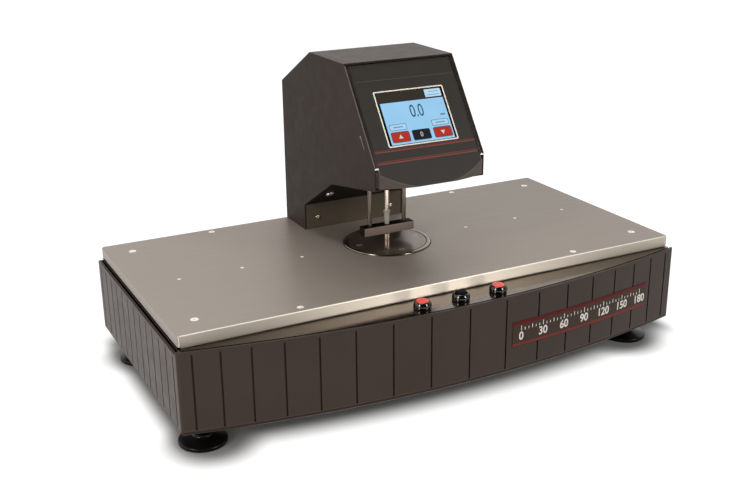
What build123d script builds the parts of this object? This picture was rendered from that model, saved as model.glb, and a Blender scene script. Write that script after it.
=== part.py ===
from build123d import *
import math
import os

# Bench thickness gauge. Sizes are in millimetres: X runs along the base, -Y is the side
# that the operator faces, and Z is up from the bench, which is Z = 0. The origin lies
# midway between the bow of the front and the flange of the mains inlet at the back.

os.makedirs("parts", exist_ok=True)

# Ground plate
PLATE_WIDTH = 600.0
PLATE_DEPTH = 285.5
PLATE_THICK = 12.2
PLATE_TOP = 134.5
PLATE_BACK = 160.0
PLATE_FRONT = PLATE_BACK - PLATE_DEPTH
PLATE_MID = (PLATE_FRONT + PLATE_BACK) / 2
PLATE_BOTTOM = PLATE_TOP - PLATE_THICK
PLATE_CORNER = 3.0

# Layers under the plate
GASKET_THICK = 1.2
DECK_THICK = 4.0
DECK_TOP = PLATE_BOTTOM - GASKET_THICK
DECK_BOTTOM = DECK_TOP - DECK_THICK

# Grooved skirt with a bowed front
SKIRT_PROUD = 4.2
SKIRT_HALF = PLATE_WIDTH / 2 + SKIRT_PROUD
SKIRT_BACK = PLATE_BACK + SKIRT_PROUD
SKIRT_WALL = 3.0
SKIRT_BOTTOM = 32.5
SKIRT_CORNER = 4.0
FRONT_TOP = DECK_TOP - 0.5
SIDE_TOP = DECK_BOTTOM - 0.1
STEP_Y = -128.5
BOW_APEX = -167.0
BOW_END = -132.0
BOW_RISE = BOW_END - BOW_APEX
BOW_RADIUS = (SKIRT_HALF**2 + BOW_RISE**2) / (2 * BOW_RISE)
LIP_WIDTH = 8.0
LIP_THICK = 2.5
GROOVE_WIDTH = 2.0
GROOVE_DEPTH = 1.8
GROOVE_BOTTOM = SKIRT_BOTTOM + 4.5
FRONT_GROOVE_TOP = FRONT_TOP - 3.2
SIDE_GROOVE_TOP = SIDE_TOP - 3.0
FRONT_GROOVES_EACH_SIDE = 8
FRONT_PITCH = 47.3
FRONT_PITCH_LOSS = 1.38
SIDE_GROOVES = 13
SIDE_PITCH = 22.8
DECK_GAP = 0.8

# Tray, rear panel and the frame inside the base
TRAY_THICK = 2.5
TRAY_BOTTOM = SKIRT_BOTTOM + LIP_THICK
TRAY_TOP = TRAY_BOTTOM + TRAY_THICK
REAR_THICK = 2.5
FOOT_X = 272.0
FOOT_DY = 110.95
BOSS_RADIUS = 13.0
BOSS_BORE_TOP = 100.0
RIB_HALF_LENGTH = 240.0
RIB_DEPTH = 28.0
RIB_WALL = 3.0
RIB_FRONT_Y = -46.0
RIB_REAR_Y = 76.0

# Levelling feet
PAD_RADIUS = 25.5
PAD_RIM = 4.6
HUB_RADIUS = 10.0
HUB_TOP = 11.0
STUD_RADIUS = 6.0
STUD_BALL = 5.0
STUD_BOTTOM = 3.0
STUD_TOP = 86.0
RUNNING_FIT = 0.05

# Anvil in the middle of the plate
ANVIL_RADIUS = 51.0
ANVIL_PROUD = 1.5
ANVIL_TOP = PLATE_TOP + ANVIL_PROUD
ANVIL_POCKET = 3.5
SPIGOT_RADIUS = 28.0
ANVIL_SCREW_CIRCLE = 36.6

# Push buttons on the shelf in front of the plate
BUTTON_Y = -147.5
BUTTON_PITCH = 46.5
BEZEL_RADIUS = 9.6
BEZEL_HEIGHT = 7.4
DOME_LIFT = 2.3
DOME_INSET = 2.2
CAP_RADIUS = 6.5
CAP_PROUD = 0.9
CAP_HEIGHT = 2.9
BARREL_RADIUS = 6.0

# Connectors on the rear panel
PORT_Z = 78.0
INLET_X = -70.0
INLET_SCREW_SPAN = 40.0
ROCKER_X = -25.0
DATA_X = 60.0
FLANGE_PROUD = 2.8

# Head: side profile as (Y, Z) corners
HEAD_HALF = 66.7
SHEET = 2.0
HEAD_BACK = 158.5
HEAD_TOP = 353.0
ROOF_REAR = (74.5, HEAD_TOP)
ROOF_FRONT = (-12.5, HEAD_TOP)
BACK_TOP = (HEAD_BACK, 307.5)
SLOPE_END = (-82.0, 255.5)
CHIN_BACK = (-82.0, 230.5)
THROAT_VERTEX = (23.5, 211.9)
PEDESTAL_TOP = (102.3, 165.9)
PEDESTAL_Y = PEDESTAL_TOP[0]

# Sloping fascia, measured across (u) and down the slope (v) from the roof's front edge
SLOPE_LENGTH = math.dist(ROOF_FRONT, SLOPE_END)
SLOPE_DY = (SLOPE_END[0] - ROOF_FRONT[0]) / SLOPE_LENGTH
SLOPE_DZ = (SLOPE_END[1] - ROOF_FRONT[1]) / SLOPE_LENGTH
FASCIA_INSET = 1.5
FASCIA_THICK = 3.0
FASCIA_HALF = 62.7
FASCIA_START = 2.6
FASCIA_BACK = FASCIA_INSET + FASCIA_THICK
CHIN_APEX = -97.7
CHIN_SIDE = -86.1
CHIN_CHORD = 61.0
CHIN_RADIUS = (CHIN_CHORD**2 + (CHIN_SIDE - CHIN_APEX) ** 2) / (2 * (CHIN_SIDE - CHIN_APEX))
CHIN_BOTTOM = 233.5
CHIN_REAR = -76.0
CHIN_WALL = 2.5
FILM_START = 22.0
FILM_HALF = 61.2
FILM_THICK = 0.3
SCREEN_V = 67.25
FRAME_WIDTH = 85.2
FRAME_HEIGHT = 64.1
FRAME_BORDER = 1.4
FRAME_THICK = 0.8
GLASS_WIDTH = FRAME_WIDTH - 2 * FRAME_BORDER - 0.2
GLASS_HEIGHT = FRAME_HEIGHT - 2 * FRAME_BORDER - 0.2
GLASS_DEPTH = FASCIA_INSET - 0.3
GLASS_THICK = 1.8
MODULE_WIDTH = 100.0
MODULE_HEIGHT = 66.0
MODULE_THICK = 7.5
CHIP_HEIGHT = 2.6
DISPLAY_STUD_SPAN = (94.0, 56.0)

# Foot mechanism: crossbar, rods, spindle and displacement probe
ROD_X = 22.4
ROD_RADIUS = 2.5
BAR_HALF = 32.5
BAR_DEPTH = 13.5
BAR_BOTTOM = 146.8
BAR_TOP = 156.6
YOKE_BOTTOM = 318.0
YOKE_TOP = 326.0
GUIDE_BOTTOM = 224.0
GUIDE_TOP = 262.0
BUSH_RADIUS = 4.5
ROD_FIT = 0.03
ROD_BOTTOM = 149.8
SPINDLE_RADIUS = 3.0
SPINDLE_TOP = 151.8
CONTACT_GAP = 0.05
PROBE_RADIUS = 4.0
PROBE_TUBE_RADIUS = 2.5
PROBE_TUBE_END = 172.5
PROBE_TOP = 268.0
SLEEVE_TOP = 173.5
SLEEVE_FOOT = 2.6
SLEEVE_RIM = 3.85
FOOT_TRAVEL = 10.0
SLEEVE_FLOOR = PROBE_TUBE_END - FOOT_TRAVEL - 0.5
PLUNGER_RADIUS = 1.25
PLUNGER_TOP = 236.0
WEIGHT_BOTTOM = 276.0
WEIGHT_TOP = 312.0

# Lift drive
DRIVE_Y = 82.0
MOTOR_SIDE = 42.3
MOTOR_TOP = 300.0
SCREW_RADIUS = 4.0
SCREW_TOP = 342.0


def export_piece(piece, name):
    """Label a finished piece and write it under its own name."""
    piece.part.label = name
    export_step(piece.part, f"parts/{name}.step")


def bow_y(x, inset=0.0):
    """Y of the bowed front at X, for an outline set in from the skirt's outer face."""
    return BOW_APEX + BOW_RADIUS - math.sqrt((BOW_RADIUS - inset) ** 2 - x**2)


def base_outline(half_width, inset, back, corner):
    """Face of the base seen from above: straight back and sides, bowed front."""
    with BuildSketch() as outline:
        with BuildLine():
            bow = ThreePointArc(
                (-half_width, bow_y(half_width, inset)),
                (0, bow_y(0, inset)),
                (half_width, bow_y(half_width, inset)),
            )
            Polyline(bow @ 1, (half_width, back), (-half_width, back), bow @ 0)
        make_face()
        fillet(vertices().sort_by(Axis.Y)[:2], corner)
    return outline.sketch


def chin_y(x, inset=0.0):
    """Y of the fascia's bowed chin at X, for a face set in from its outer side."""
    return CHIN_APEX + CHIN_RADIUS - math.sqrt((CHIN_RADIUS - inset) ** 2 - x**2)


def bow_band(x_from, x_to, lift_from, lift_to):
    """Thin curved face that lies on the bow, seen from above."""
    x_mid = (x_from + x_to) / 2
    with BuildSketch() as band:
        with BuildLine():
            near = ThreePointArc(*[(x, bow_y(x, -lift_to)) for x in (x_from, x_mid, x_to)])
            far = ThreePointArc(*[(x, bow_y(x, -lift_from)) for x in (x_from, x_mid, x_to)])
            Line(near @ 0, far @ 0)
            Line(near @ 1, far @ 1)
        make_face()
    return band.sketch


def turned(x, y, outline):
    """Solid of revolution about the upright axis at X, Y, from (radius, height) points."""
    with BuildPart() as solid:
        with BuildSketch(Plane(origin=(x, y, 0), x_dir=(1, 0, 0), z_dir=(0, -1, 0))):
            Polygon(*outline, align=None)
        revolve(axis=Axis((x, y, 0), (0, 0, 1)))
    return solid.part


def flat_screws(places, top, head_radius, shank_radius, length, socket):
    """Countersunk screws with hexagon sockets, their heads flush with top."""
    head = head_radius - shank_radius
    with BuildPart() as screws:
        with Locations(*[(x, y, top) for x, y in places]):
            Cone(shank_radius, head_radius, head, align=(Align.CENTER, Align.CENTER, Align.MAX))
            Cylinder(shank_radius, length, align=(Align.CENTER, Align.CENTER, Align.MAX))
        with BuildSketch(Plane.XY.offset(top)):
            with Locations(*places):
                RegularPolygon(socket, 6)
        extrude(amount=-0.8 * head, mode=Mode.SUBTRACT)
    return screws.part


def sink_holes(places, top, head_radius, shank_radius, depth):
    """Countersunk clearance holes for flat_screws of the same size."""
    with Locations(*[(x, y, top) for x, y in places]):
        CounterSinkHole(shank_radius + 0.2, head_radius + 0.05, depth, counter_sink_angle=90)


def facet_z(y, lift=0.0):
    """Height of the head's steep underside facet at Y, lifted square to itself."""
    run = PEDESTAL_TOP[0] - THROAT_VERTEX[0]
    fall = PEDESTAL_TOP[1] - THROAT_VERTEX[1]
    return THROAT_VERTEX[1] + (y - THROAT_VERTEX[0]) * fall / run + lift * math.hypot(run, fall) / run


def slope_point(v, depth):
    """(Y, Z) of a point v down the fascia slope and depth behind its plane."""
    y = ROOF_FRONT[0] + v * SLOPE_DY - depth * SLOPE_DZ
    z = ROOF_FRONT[1] + v * SLOPE_DZ + depth * SLOPE_DY
    return y, z


def slope_plane(depth):
    """Plane parallel to the fascia slope, looking out of it, with local Y up the slope."""
    y, z = slope_point(0, depth)
    return Plane(origin=(0, y, z), x_dir=(1, 0, 0), z_dir=(0, SLOPE_DZ, -SLOPE_DY))


def fascia_wedge(half_width, inset, bottom, depth):
    """Solid behind the bowed chin, from a level floor up to a plane parallel to the slope."""
    with BuildPart() as wedge:
        with BuildSketch(Plane.XY.offset(bottom)):
            with BuildLine():
                bow = ThreePointArc(
                    (-half_width, chin_y(half_width, inset)),
                    (0, chin_y(0, inset)),
                    (half_width, chin_y(half_width, inset)),
                )
                Polyline(bow @ 1, (half_width, 0), (-half_width, 0), bow @ 0)
            make_face()
        extrude(amount=HEAD_TOP - bottom)
        split(bisect_by=slope_plane(depth), keep=Keep.BOTTOM)
    return wedge.part


def pan_screw(face_plane, head_radius, head_height, shank_radius, length):
    """Button-head screw with a hexagon socket, seated on a plane that looks away from its shank."""
    with BuildPart(face_plane) as screw:
        Cylinder(head_radius, head_height, align=(Align.CENTER, Align.CENTER, Align.MIN))
        outer_face = faces().sort_by(Axis(face_plane.origin, face_plane.z_dir))[-1]
        fillet(outer_face.edges(), 0.6 * head_height)
        Cylinder(shank_radius, length, align=(Align.CENTER, Align.CENTER, Align.MAX))
        with BuildSketch(face_plane.offset(head_height)):
            RegularPolygon(0.42 * head_radius, 6)
        extrude(amount=-0.6 * head_height, mode=Mode.SUBTRACT)
    return screw.part


FOOT_PLACES = [(sx * FOOT_X, PLATE_MID + sy * FOOT_DY) for sy in (-1, 1) for sx in (-1, 1)]
EDGE_PLACES = [(sx * 169.0, PLATE_MID + sy * (PLATE_DEPTH / 2 - 10)) for sy in (-1, 1) for sx in (-1, 1)]
CENTRE_PLACES = [(sx * x, PLATE_MID) for x in (108.6, 180.3, 252.1) for sx in (-1, 1)]
ANVIL_PLACES = [
    (ANVIL_SCREW_CIRCLE * math.cos(a), PLATE_MID + ANVIL_SCREW_CIRCLE * math.sin(a))
    for a in (0, math.pi / 2, math.pi, 3 * math.pi / 2)
]
COLUMN_PLACES = [(sx * 45.0, y) for y in (118.0, 144.0) for sx in (-1, 1)]
BUTTON_PLACES = [(i * BUTTON_PITCH, BUTTON_Y) for i in (-1, 0, 1)]
ROD_PLACES = [(sx * ROD_X, PLATE_MID) for sx in (-1, 1)]

# Screw sizes as (head radius, shank radius, length, socket radius)
CORNER_SCREW = (4.35, 2.0, 30.0, 1.5)
EDGE_SCREW = (3.8, 2.0, 17.0, 1.4)
CENTRE_SCREW = (2.2, 1.25, 15.0, 0.9)
ANVIL_SCREW = (3.7, 2.0, 12.0, 1.4)

# Grooved skirt: one wrap round the front and both sides, open at the back
with BuildPart() as base_skirt:
    with BuildSketch(Plane.XY.offset(SKIRT_BOTTOM)):
        add(base_outline(SKIRT_HALF, 0, SKIRT_BACK, SKIRT_CORNER))
    extrude(amount=FRONT_TOP - SKIRT_BOTTOM)
    chamfer(faces().sort_by(Axis.Z)[0].edges(), 1.4)
    with BuildSketch(Plane.XY.offset(SIDE_TOP)):
        with Locations((0, STEP_Y + PLATE_DEPTH)):
            Rectangle(2 * SKIRT_HALF + 2, 2 * PLATE_DEPTH)
    extrude(amount=FRONT_TOP - SIDE_TOP, mode=Mode.SUBTRACT)
    with BuildSketch(Plane.XY.offset(TRAY_BOTTOM)):
        add(base_outline(SKIRT_HALF - SKIRT_WALL, SKIRT_WALL, SKIRT_BACK + 1, 1.0))
    extrude(amount=FRONT_TOP, mode=Mode.SUBTRACT)
    with BuildSketch(Plane.XY.offset(SKIRT_BOTTOM)):
        add(base_outline(SKIRT_HALF - SKIRT_WALL - LIP_WIDTH, SKIRT_WALL + LIP_WIDTH, SKIRT_BACK + 1, 1.0))
        with Locations((0, SKIRT_BACK)):
            Rectangle(2 * (SKIRT_HALF - SKIRT_WALL), 2 * REAR_THICK)
    extrude(amount=LIP_THICK, mode=Mode.SUBTRACT)
    with BuildSketch(Plane.XY.offset(GROOVE_BOTTOM)):
        for step in range(-FRONT_GROOVES_EACH_SIDE, FRONT_GROOVES_EACH_SIDE + 1):
            groove_x = FRONT_PITCH * step - FRONT_PITCH_LOSS * step * abs(step)
            lean = math.degrees(math.asin(groove_x / BOW_RADIUS))
            with Locations(Location((groove_x, bow_y(groove_x), 0), (0, 0, lean))):
                Rectangle(GROOVE_WIDTH, 2 * GROOVE_DEPTH)
    extrude(amount=FRONT_GROOVE_TOP - GROOVE_BOTTOM, mode=Mode.SUBTRACT)
    with BuildSketch(Plane.XY.offset(GROOVE_BOTTOM)):
        with Locations((0, PLATE_MID)):
            with GridLocations(2 * SKIRT_HALF, SIDE_PITCH, 2, SIDE_GROOVES):
                Rectangle(2 * GROOVE_DEPTH, GROOVE_WIDTH)
    extrude(amount=SIDE_GROOVE_TOP - GROOVE_BOTTOM, mode=Mode.SUBTRACT)
export_piece(base_skirt, "base_skirt")

# Floor tray, resting on the skirt's inward lip
with BuildPart() as base_tray:
    with BuildSketch(Plane.XY.offset(TRAY_BOTTOM)):
        add(base_outline(SKIRT_HALF - SKIRT_WALL, SKIRT_WALL, SKIRT_BACK - REAR_THICK, 1.0))
    extrude(amount=TRAY_THICK)
    with Locations(*[(x, y, TRAY_TOP) for x, y in FOOT_PLACES]):
        Hole(STUD_RADIUS + 1)
export_piece(base_tray, "base_tray")

# Rear panel with its cut-outs for the inlet, the switch and the data port
with BuildPart() as rear_panel:
    with BuildSketch(Plane.XZ.offset(-SKIRT_BACK)):
        with Locations((0, (SKIRT_BOTTOM + SIDE_TOP) / 2)):
            Rectangle(2 * (SKIRT_HALF - SKIRT_WALL), SIDE_TOP - SKIRT_BOTTOM)
        with Locations((INLET_X, PORT_Z)):
            Rectangle(27.4, 20.2, mode=Mode.SUBTRACT)
            with GridLocations(INLET_SCREW_SPAN, 0, 2, 1):
                Circle(1.6, mode=Mode.SUBTRACT)
        with Locations((ROCKER_X, PORT_Z)):
            Rectangle(13.4, 19.4, mode=Mode.SUBTRACT)
        with Locations((DATA_X, PORT_Z)):
            Rectangle(19.6, 11.0, mode=Mode.SUBTRACT)
    extrude(amount=REAR_THICK)
export_piece(rear_panel, "rear_panel")

# Deck: carries the plate, shows as a shelf in front of it, and holds the push buttons
with BuildPart() as deck_plate:
    with BuildSketch(Plane.XY.offset(DECK_BOTTOM)):
        add(base_outline(PLATE_WIDTH / 2, SKIRT_WALL + DECK_GAP, PLATE_BACK, 2.0))
    extrude(amount=DECK_THICK)
    with Locations(*[(x, y, DECK_TOP) for x, y in BUTTON_PLACES]):
        Hole(BARREL_RADIUS + 0.1)
    with Locations(*[(x, y, DECK_TOP) for x, y in FOOT_PLACES + EDGE_PLACES]):
        Hole(2.2)
    with Locations(*[(x, y, DECK_TOP) for x, y in CENTRE_PLACES]):
        Hole(1.4)
    with Locations(*[(x, y, DECK_TOP) for x, y in COLUMN_PLACES]):
        Hole(4.4)
    with Locations((0, PLATE_MID, DECK_TOP)):
        Hole(SPIGOT_RADIUS + 2)
export_piece(deck_plate, "deck_plate")

# Black sheet between the deck and the ground plate, set back to leave a shadow line
with BuildPart() as plate_gasket:
    with BuildSketch(Plane.XY.offset(DECK_TOP)):
        with Locations((0, PLATE_MID)):
            Rectangle(PLATE_WIDTH - 8, PLATE_DEPTH - 8)
            Circle(SPIGOT_RADIUS + 2, mode=Mode.SUBTRACT)
        with Locations(*(FOOT_PLACES + EDGE_PLACES)):
            Circle(2.2, mode=Mode.SUBTRACT)
        with Locations(*CENTRE_PLACES):
            Circle(1.4, mode=Mode.SUBTRACT)
        with Locations(*COLUMN_PLACES):
            Circle(4.4, mode=Mode.SUBTRACT)
    extrude(amount=GASKET_THICK)
export_piece(plate_gasket, "plate_gasket")

# Ground steel plate with eased edges
with BuildPart() as surface_plate:
    with BuildSketch(Plane.XY.offset(PLATE_BOTTOM)):
        with Locations((0, PLATE_MID)):
            RectangleRounded(PLATE_WIDTH, PLATE_DEPTH, PLATE_CORNER)
    extrude(amount=PLATE_THICK)
    fillet(faces().sort_by(Axis.Z)[-1].edges(), 1.2)
    chamfer(faces().sort_by(Axis.Z)[0].edges(), 0.7)
    sink_holes(FOOT_PLACES, PLATE_TOP, *CORNER_SCREW[:2], PLATE_THICK)
    sink_holes(EDGE_PLACES, PLATE_TOP, *EDGE_SCREW[:2], PLATE_THICK)
    sink_holes(CENTRE_PLACES, PLATE_TOP, *CENTRE_SCREW[:2], PLATE_THICK)
    with Locations(*[(x, y, PLATE_TOP) for x, y in COLUMN_PLACES]):
        Hole(4.4)
    with Locations((0, PLATE_MID, PLATE_TOP)):
        CounterBoreHole(SPIGOT_RADIUS + 0.1, ANVIL_RADIUS + 0.2, ANVIL_POCKET)
    with Locations(*[(x, y, PLATE_TOP - ANVIL_POCKET) for x, y in ANVIL_PLACES]):
        Hole(2.05)
export_piece(surface_plate, "surface_plate")

with BuildPart() as plate_corner_screws:
    add(flat_screws(FOOT_PLACES, PLATE_TOP, *CORNER_SCREW))
export_piece(plate_corner_screws, "plate_corner_screws")

with BuildPart() as plate_edge_screws:
    add(flat_screws(EDGE_PLACES, PLATE_TOP, *EDGE_SCREW))
export_piece(plate_edge_screws, "plate_edge_screws")

with BuildPart() as plate_centre_screws:
    add(flat_screws(CENTRE_PLACES, PLATE_TOP, *CENTRE_SCREW))
export_piece(plate_centre_screws, "plate_centre_screws")

# Polished anvil: one turned disc with a bevelled rim, a groove and a spigot under it
with BuildPart() as anvil:
    add(
        turned(
            0,
            PLATE_MID,
            [
                (0, DECK_TOP),
                (SPIGOT_RADIUS, DECK_TOP),
                (SPIGOT_RADIUS, PLATE_TOP - ANVIL_POCKET),
                (ANVIL_RADIUS, PLATE_TOP - ANVIL_POCKET),
                (ANVIL_RADIUS, PLATE_TOP + 0.2),
                (ANVIL_RADIUS - 1.3, ANVIL_TOP),
                (ANVIL_RADIUS - 4.2, ANVIL_TOP),
                (ANVIL_RADIUS - 4.7, ANVIL_TOP - 0.5),
                (ANVIL_RADIUS - 5.2, ANVIL_TOP),
                (0, ANVIL_TOP),
            ],
        )
    )
    sink_holes(ANVIL_PLACES, ANVIL_TOP, *ANVIL_SCREW[:2], ANVIL_POCKET + ANVIL_PROUD)
export_piece(anvil, "anvil")

with BuildPart() as anvil_screws:
    add(flat_screws(ANVIL_PLACES, ANVIL_TOP, *ANVIL_SCREW))
export_piece(anvil_screws, "anvil_screws")

# Bosses between tray and deck: each takes a levelling stud below and a plate screw above
with BuildPart() as foot_bosses:
    with Locations(*[(x, y, TRAY_TOP) for x, y in FOOT_PLACES]):
        Cylinder(BOSS_RADIUS, DECK_BOTTOM - TRAY_TOP, align=(Align.CENTER, Align.CENTER, Align.MIN))
    with BuildSketch(Plane.XY.offset(TRAY_TOP)):
        with Locations(*FOOT_PLACES):
            Circle(STUD_RADIUS + RUNNING_FIT)
    extrude(amount=BOSS_BORE_TOP - TRAY_TOP, mode=Mode.SUBTRACT)
    with Locations(*[(x, y, DECK_BOTTOM) for x, y in FOOT_PLACES]):
        Hole(2.05, 14.0)
export_piece(foot_bosses, "foot_bosses")

# Channel ribs that hold the deck flat
with BuildPart() as deck_ribs:
    with BuildSketch(Plane.YZ.offset(-RIB_HALF_LENGTH)):
        for rib_y in (RIB_FRONT_Y, RIB_REAR_Y):
            with Locations((rib_y, (TRAY_TOP + DECK_BOTTOM) / 2)):
                Rectangle(RIB_DEPTH, DECK_BOTTOM - TRAY_TOP)
            with Locations((rib_y + RIB_WALL, (TRAY_TOP + DECK_BOTTOM) / 2)):
                Rectangle(RIB_DEPTH, DECK_BOTTOM - TRAY_TOP - 2 * RIB_WALL, mode=Mode.SUBTRACT)
    extrude(amount=2 * RIB_HALF_LENGTH)
export_piece(deck_ribs, "deck_ribs")

# Levelling feet: a pad that stays still on the bench and a stud that turns in it
PAD_OUTLINE = [
    (0, 0),
    (PAD_RADIUS - 1.2, 0),
    (PAD_RADIUS, 1.2),
    (PAD_RADIUS, PAD_RIM - 1.0),
    (PAD_RADIUS - 1.0, PAD_RIM),
    (HUB_RADIUS + 1, HUB_TOP - 3.0),
    (HUB_RADIUS, HUB_TOP - 2.0),
    (HUB_RADIUS, HUB_TOP),
    (STUD_BALL + RUNNING_FIT, HUB_TOP),
    (STUD_BALL + RUNNING_FIT, STUD_BOTTOM),
    (0, STUD_BOTTOM),
]
STUD_OUTLINE = [
    (0, STUD_BOTTOM + RUNNING_FIT),
    (STUD_BALL - 1, STUD_BOTTOM + RUNNING_FIT),
    (STUD_BALL, STUD_BOTTOM + 1),
    (STUD_BALL, HUB_TOP + 0.5),
    (STUD_RADIUS, HUB_TOP + 1.5),
    (STUD_RADIUS, STUD_TOP - 1),
    (STUD_RADIUS - 1, STUD_TOP),
    (0, STUD_TOP),
]
FOOT_NAMES = ("front_left", "front_right", "rear_left", "rear_right")
for corner, (foot_x, foot_y) in zip(FOOT_NAMES, FOOT_PLACES):
    with BuildPart() as foot_pad:
        add(turned(foot_x, foot_y, PAD_OUTLINE))
    export_piece(foot_pad, f"foot_pad_{corner}")

    with BuildPart() as foot_stud:
        add(turned(foot_x, foot_y, STUD_OUTLINE))
    export_piece(foot_stud, f"foot_stud_{corner}")

# Push buttons: a domed bezel with a barrel through the deck, a nut below, a cap that travels
BEZEL_TOP = DECK_TOP + BEZEL_HEIGHT
WELL_DEPTH = 4.2
WELL_RADIUS = CAP_RADIUS + 0.1
BARREL_BOTTOM = 100.0
STEM_RADIUS = 2.5
STEM_BOTTOM = 104.0


def dome_point(height):
    """(radius, height) of a point on the bezel's dome."""
    rise = height - DECK_TOP - DOME_LIFT
    return DOME_INSET + math.sqrt((BEZEL_RADIUS - DOME_INSET) ** 2 - rise**2), height


with BuildPart() as button_bezels:
    for button_x, button_y in BUTTON_PLACES:
        with BuildSketch(Plane(origin=(button_x, button_y, 0), x_dir=(1, 0, 0), z_dir=(0, -1, 0))):
            with BuildLine():
                dome = ThreePointArc(
                    dome_point(DECK_TOP),
                    dome_point(DECK_TOP + DOME_LIFT),
                    dome_point(BEZEL_TOP),
                )
                Polyline(
                    dome @ 1,
                    (WELL_RADIUS, BEZEL_TOP),
                    (WELL_RADIUS, BEZEL_TOP - WELL_DEPTH),
                    (STEM_RADIUS + RUNNING_FIT, BEZEL_TOP - WELL_DEPTH),
                    (STEM_RADIUS + RUNNING_FIT, BARREL_BOTTOM),
                    (BARREL_RADIUS, BARREL_BOTTOM),
                    (BARREL_RADIUS, DECK_TOP),
                    dome @ 0,
                )
            make_face()
        revolve(axis=Axis((button_x, button_y, 0), (0, 0, 1)))
export_piece(button_bezels, "button_bezels")

with BuildPart() as button_nuts:
    with BuildSketch(Plane.XY.offset(DECK_BOTTOM)):
        with Locations(*BUTTON_PLACES):
            RegularPolygon(9.2, 6)
            Circle(BARREL_RADIUS, mode=Mode.SUBTRACT)
    extrude(amount=-3.0)
export_piece(button_nuts, "button_nuts")

for side, (button_x, button_y) in zip(("left", "middle", "right"), BUTTON_PLACES):
    with BuildPart() as button_cap:
        add(
            turned(
                button_x,
                button_y,
                [
                    (0, STEM_BOTTOM),
                    (STEM_RADIUS, STEM_BOTTOM),
                    (STEM_RADIUS, BEZEL_TOP + CAP_PROUD - CAP_HEIGHT),
                    (CAP_RADIUS, BEZEL_TOP + CAP_PROUD - CAP_HEIGHT),
                    (CAP_RADIUS, BEZEL_TOP + CAP_PROUD - 0.5),
                    (CAP_RADIUS - 0.5, BEZEL_TOP + CAP_PROUD),
                    (0, BEZEL_TOP + CAP_PROUD),
                ],
            )
        )
    export_piece(button_cap, f"button_cap_{side}")

# Badge plate on the right of the bowed front, curved to lie on it
BADGE_FROM = 54.5
BADGE_TO = 256.0
BADGE_BOTTOM = 61.0
BADGE_TOP = 89.5
BADGE_THICK = 0.8
with BuildPart() as badge_plate:
    with BuildSketch(Plane.XY.offset(BADGE_BOTTOM)):
        add(bow_band(BADGE_FROM, BADGE_TO, 0, BADGE_THICK))
    extrude(amount=BADGE_TOP - BADGE_BOTTOM)
export_piece(badge_plate, "badge_plate")

# Mains inlet: flange outside the panel, hollow socket with two cut corners
INLET_BACK = 140.0
INLET_SCREW_HEAD = 1.2
with BuildPart() as mains_inlet:
    with BuildSketch(Plane.XZ.offset(-(SKIRT_BACK + FLANGE_PROUD))):
        with Locations((INLET_X, PORT_Z)):
            RectangleRounded(50.0, 25.0, 4.0)
            with GridLocations(INLET_SCREW_SPAN, 0, 2, 1):
                Circle(1.6, mode=Mode.SUBTRACT)
    extrude(amount=FLANGE_PROUD)
    with BuildSketch(Plane.XZ.offset(-(SKIRT_BACK + FLANGE_PROUD))):
        with Locations((INLET_X, PORT_Z)):
            with GridLocations(INLET_SCREW_SPAN, 0, 2, 1):
                Circle(2.7)
    extrude(amount=INLET_SCREW_HEAD, mode=Mode.SUBTRACT)
    with BuildSketch(Plane.XZ.offset(-SKIRT_BACK)):
        with Locations((INLET_X, PORT_Z)):
            Rectangle(27.2, 20.0)
    extrude(amount=SKIRT_BACK - INLET_BACK)
    with BuildSketch(Plane.XZ.offset(-(SKIRT_BACK + FLANGE_PROUD))):
        with Locations((INLET_X, PORT_Z)):
            Rectangle(24.0, 16.6)
        chamfer(vertices().group_by(Axis.Z)[-1], 4.5)
    extrude(amount=17.0, mode=Mode.SUBTRACT)
export_piece(mains_inlet, "mains_inlet")

with BuildPart() as inlet_pins:
    with BuildSketch(Plane.XZ.offset(-(SKIRT_BACK + FLANGE_PROUD - 17.0))):
        with Locations((INLET_X - 7, PORT_Z), (INLET_X, PORT_Z + 3), (INLET_X + 7, PORT_Z)):
            Rectangle(2.0, 4.0)
    extrude(amount=-13.5)
export_piece(inlet_pins, "inlet_pins")

with BuildPart() as inlet_screws:
    for screw_x in (INLET_X - INLET_SCREW_SPAN / 2, INLET_X + INLET_SCREW_SPAN / 2):
        seat_y = SKIRT_BACK + FLANGE_PROUD - INLET_SCREW_HEAD
        flange_plane = Plane(origin=(screw_x, seat_y, PORT_Z), x_dir=(-1, 0, 0), z_dir=(0, 1, 0))
        add(pan_screw(flange_plane, 2.6, INLET_SCREW_HEAD, 1.5, 9.0))
export_piece(inlet_screws, "inlet_screws")

# Power rocker in its bezel, tipped to its on side
ROCKER_TILT = 7.0
ROCKER_PIVOT_Y = SKIRT_BACK - 1.2
ROCKER_WIDTH = 10.0
ROCKER_PIN = 1.0
ROCKER_PIN_LENGTH = 12.0
with BuildPart() as rocker_bezel:
    with BuildSketch(Plane.XZ.offset(-(SKIRT_BACK + 1.8))):
        with Locations((ROCKER_X, PORT_Z)):
            RectangleRounded(16.0, 22.0, 1.5)
    extrude(amount=1.8)
    with BuildSketch(Plane.XZ.offset(-SKIRT_BACK)):
        with Locations((ROCKER_X, PORT_Z)):
            Rectangle(13.2, 19.2)
    extrude(amount=16.0)
    with BuildSketch(Plane.XZ.offset(-(SKIRT_BACK + 1.8))):
        with Locations((ROCKER_X, PORT_Z)):
            Rectangle(10.6, 16.0)
    extrude(amount=7.6, mode=Mode.SUBTRACT)
    with Locations(Location((ROCKER_X, ROCKER_PIVOT_Y, PORT_Z), (0, 90, 0))):
        Cylinder(ROCKER_PIN + RUNNING_FIT, ROCKER_PIN_LENGTH + 0.4, mode=Mode.SUBTRACT)
export_piece(rocker_bezel, "rocker_bezel")

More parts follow.
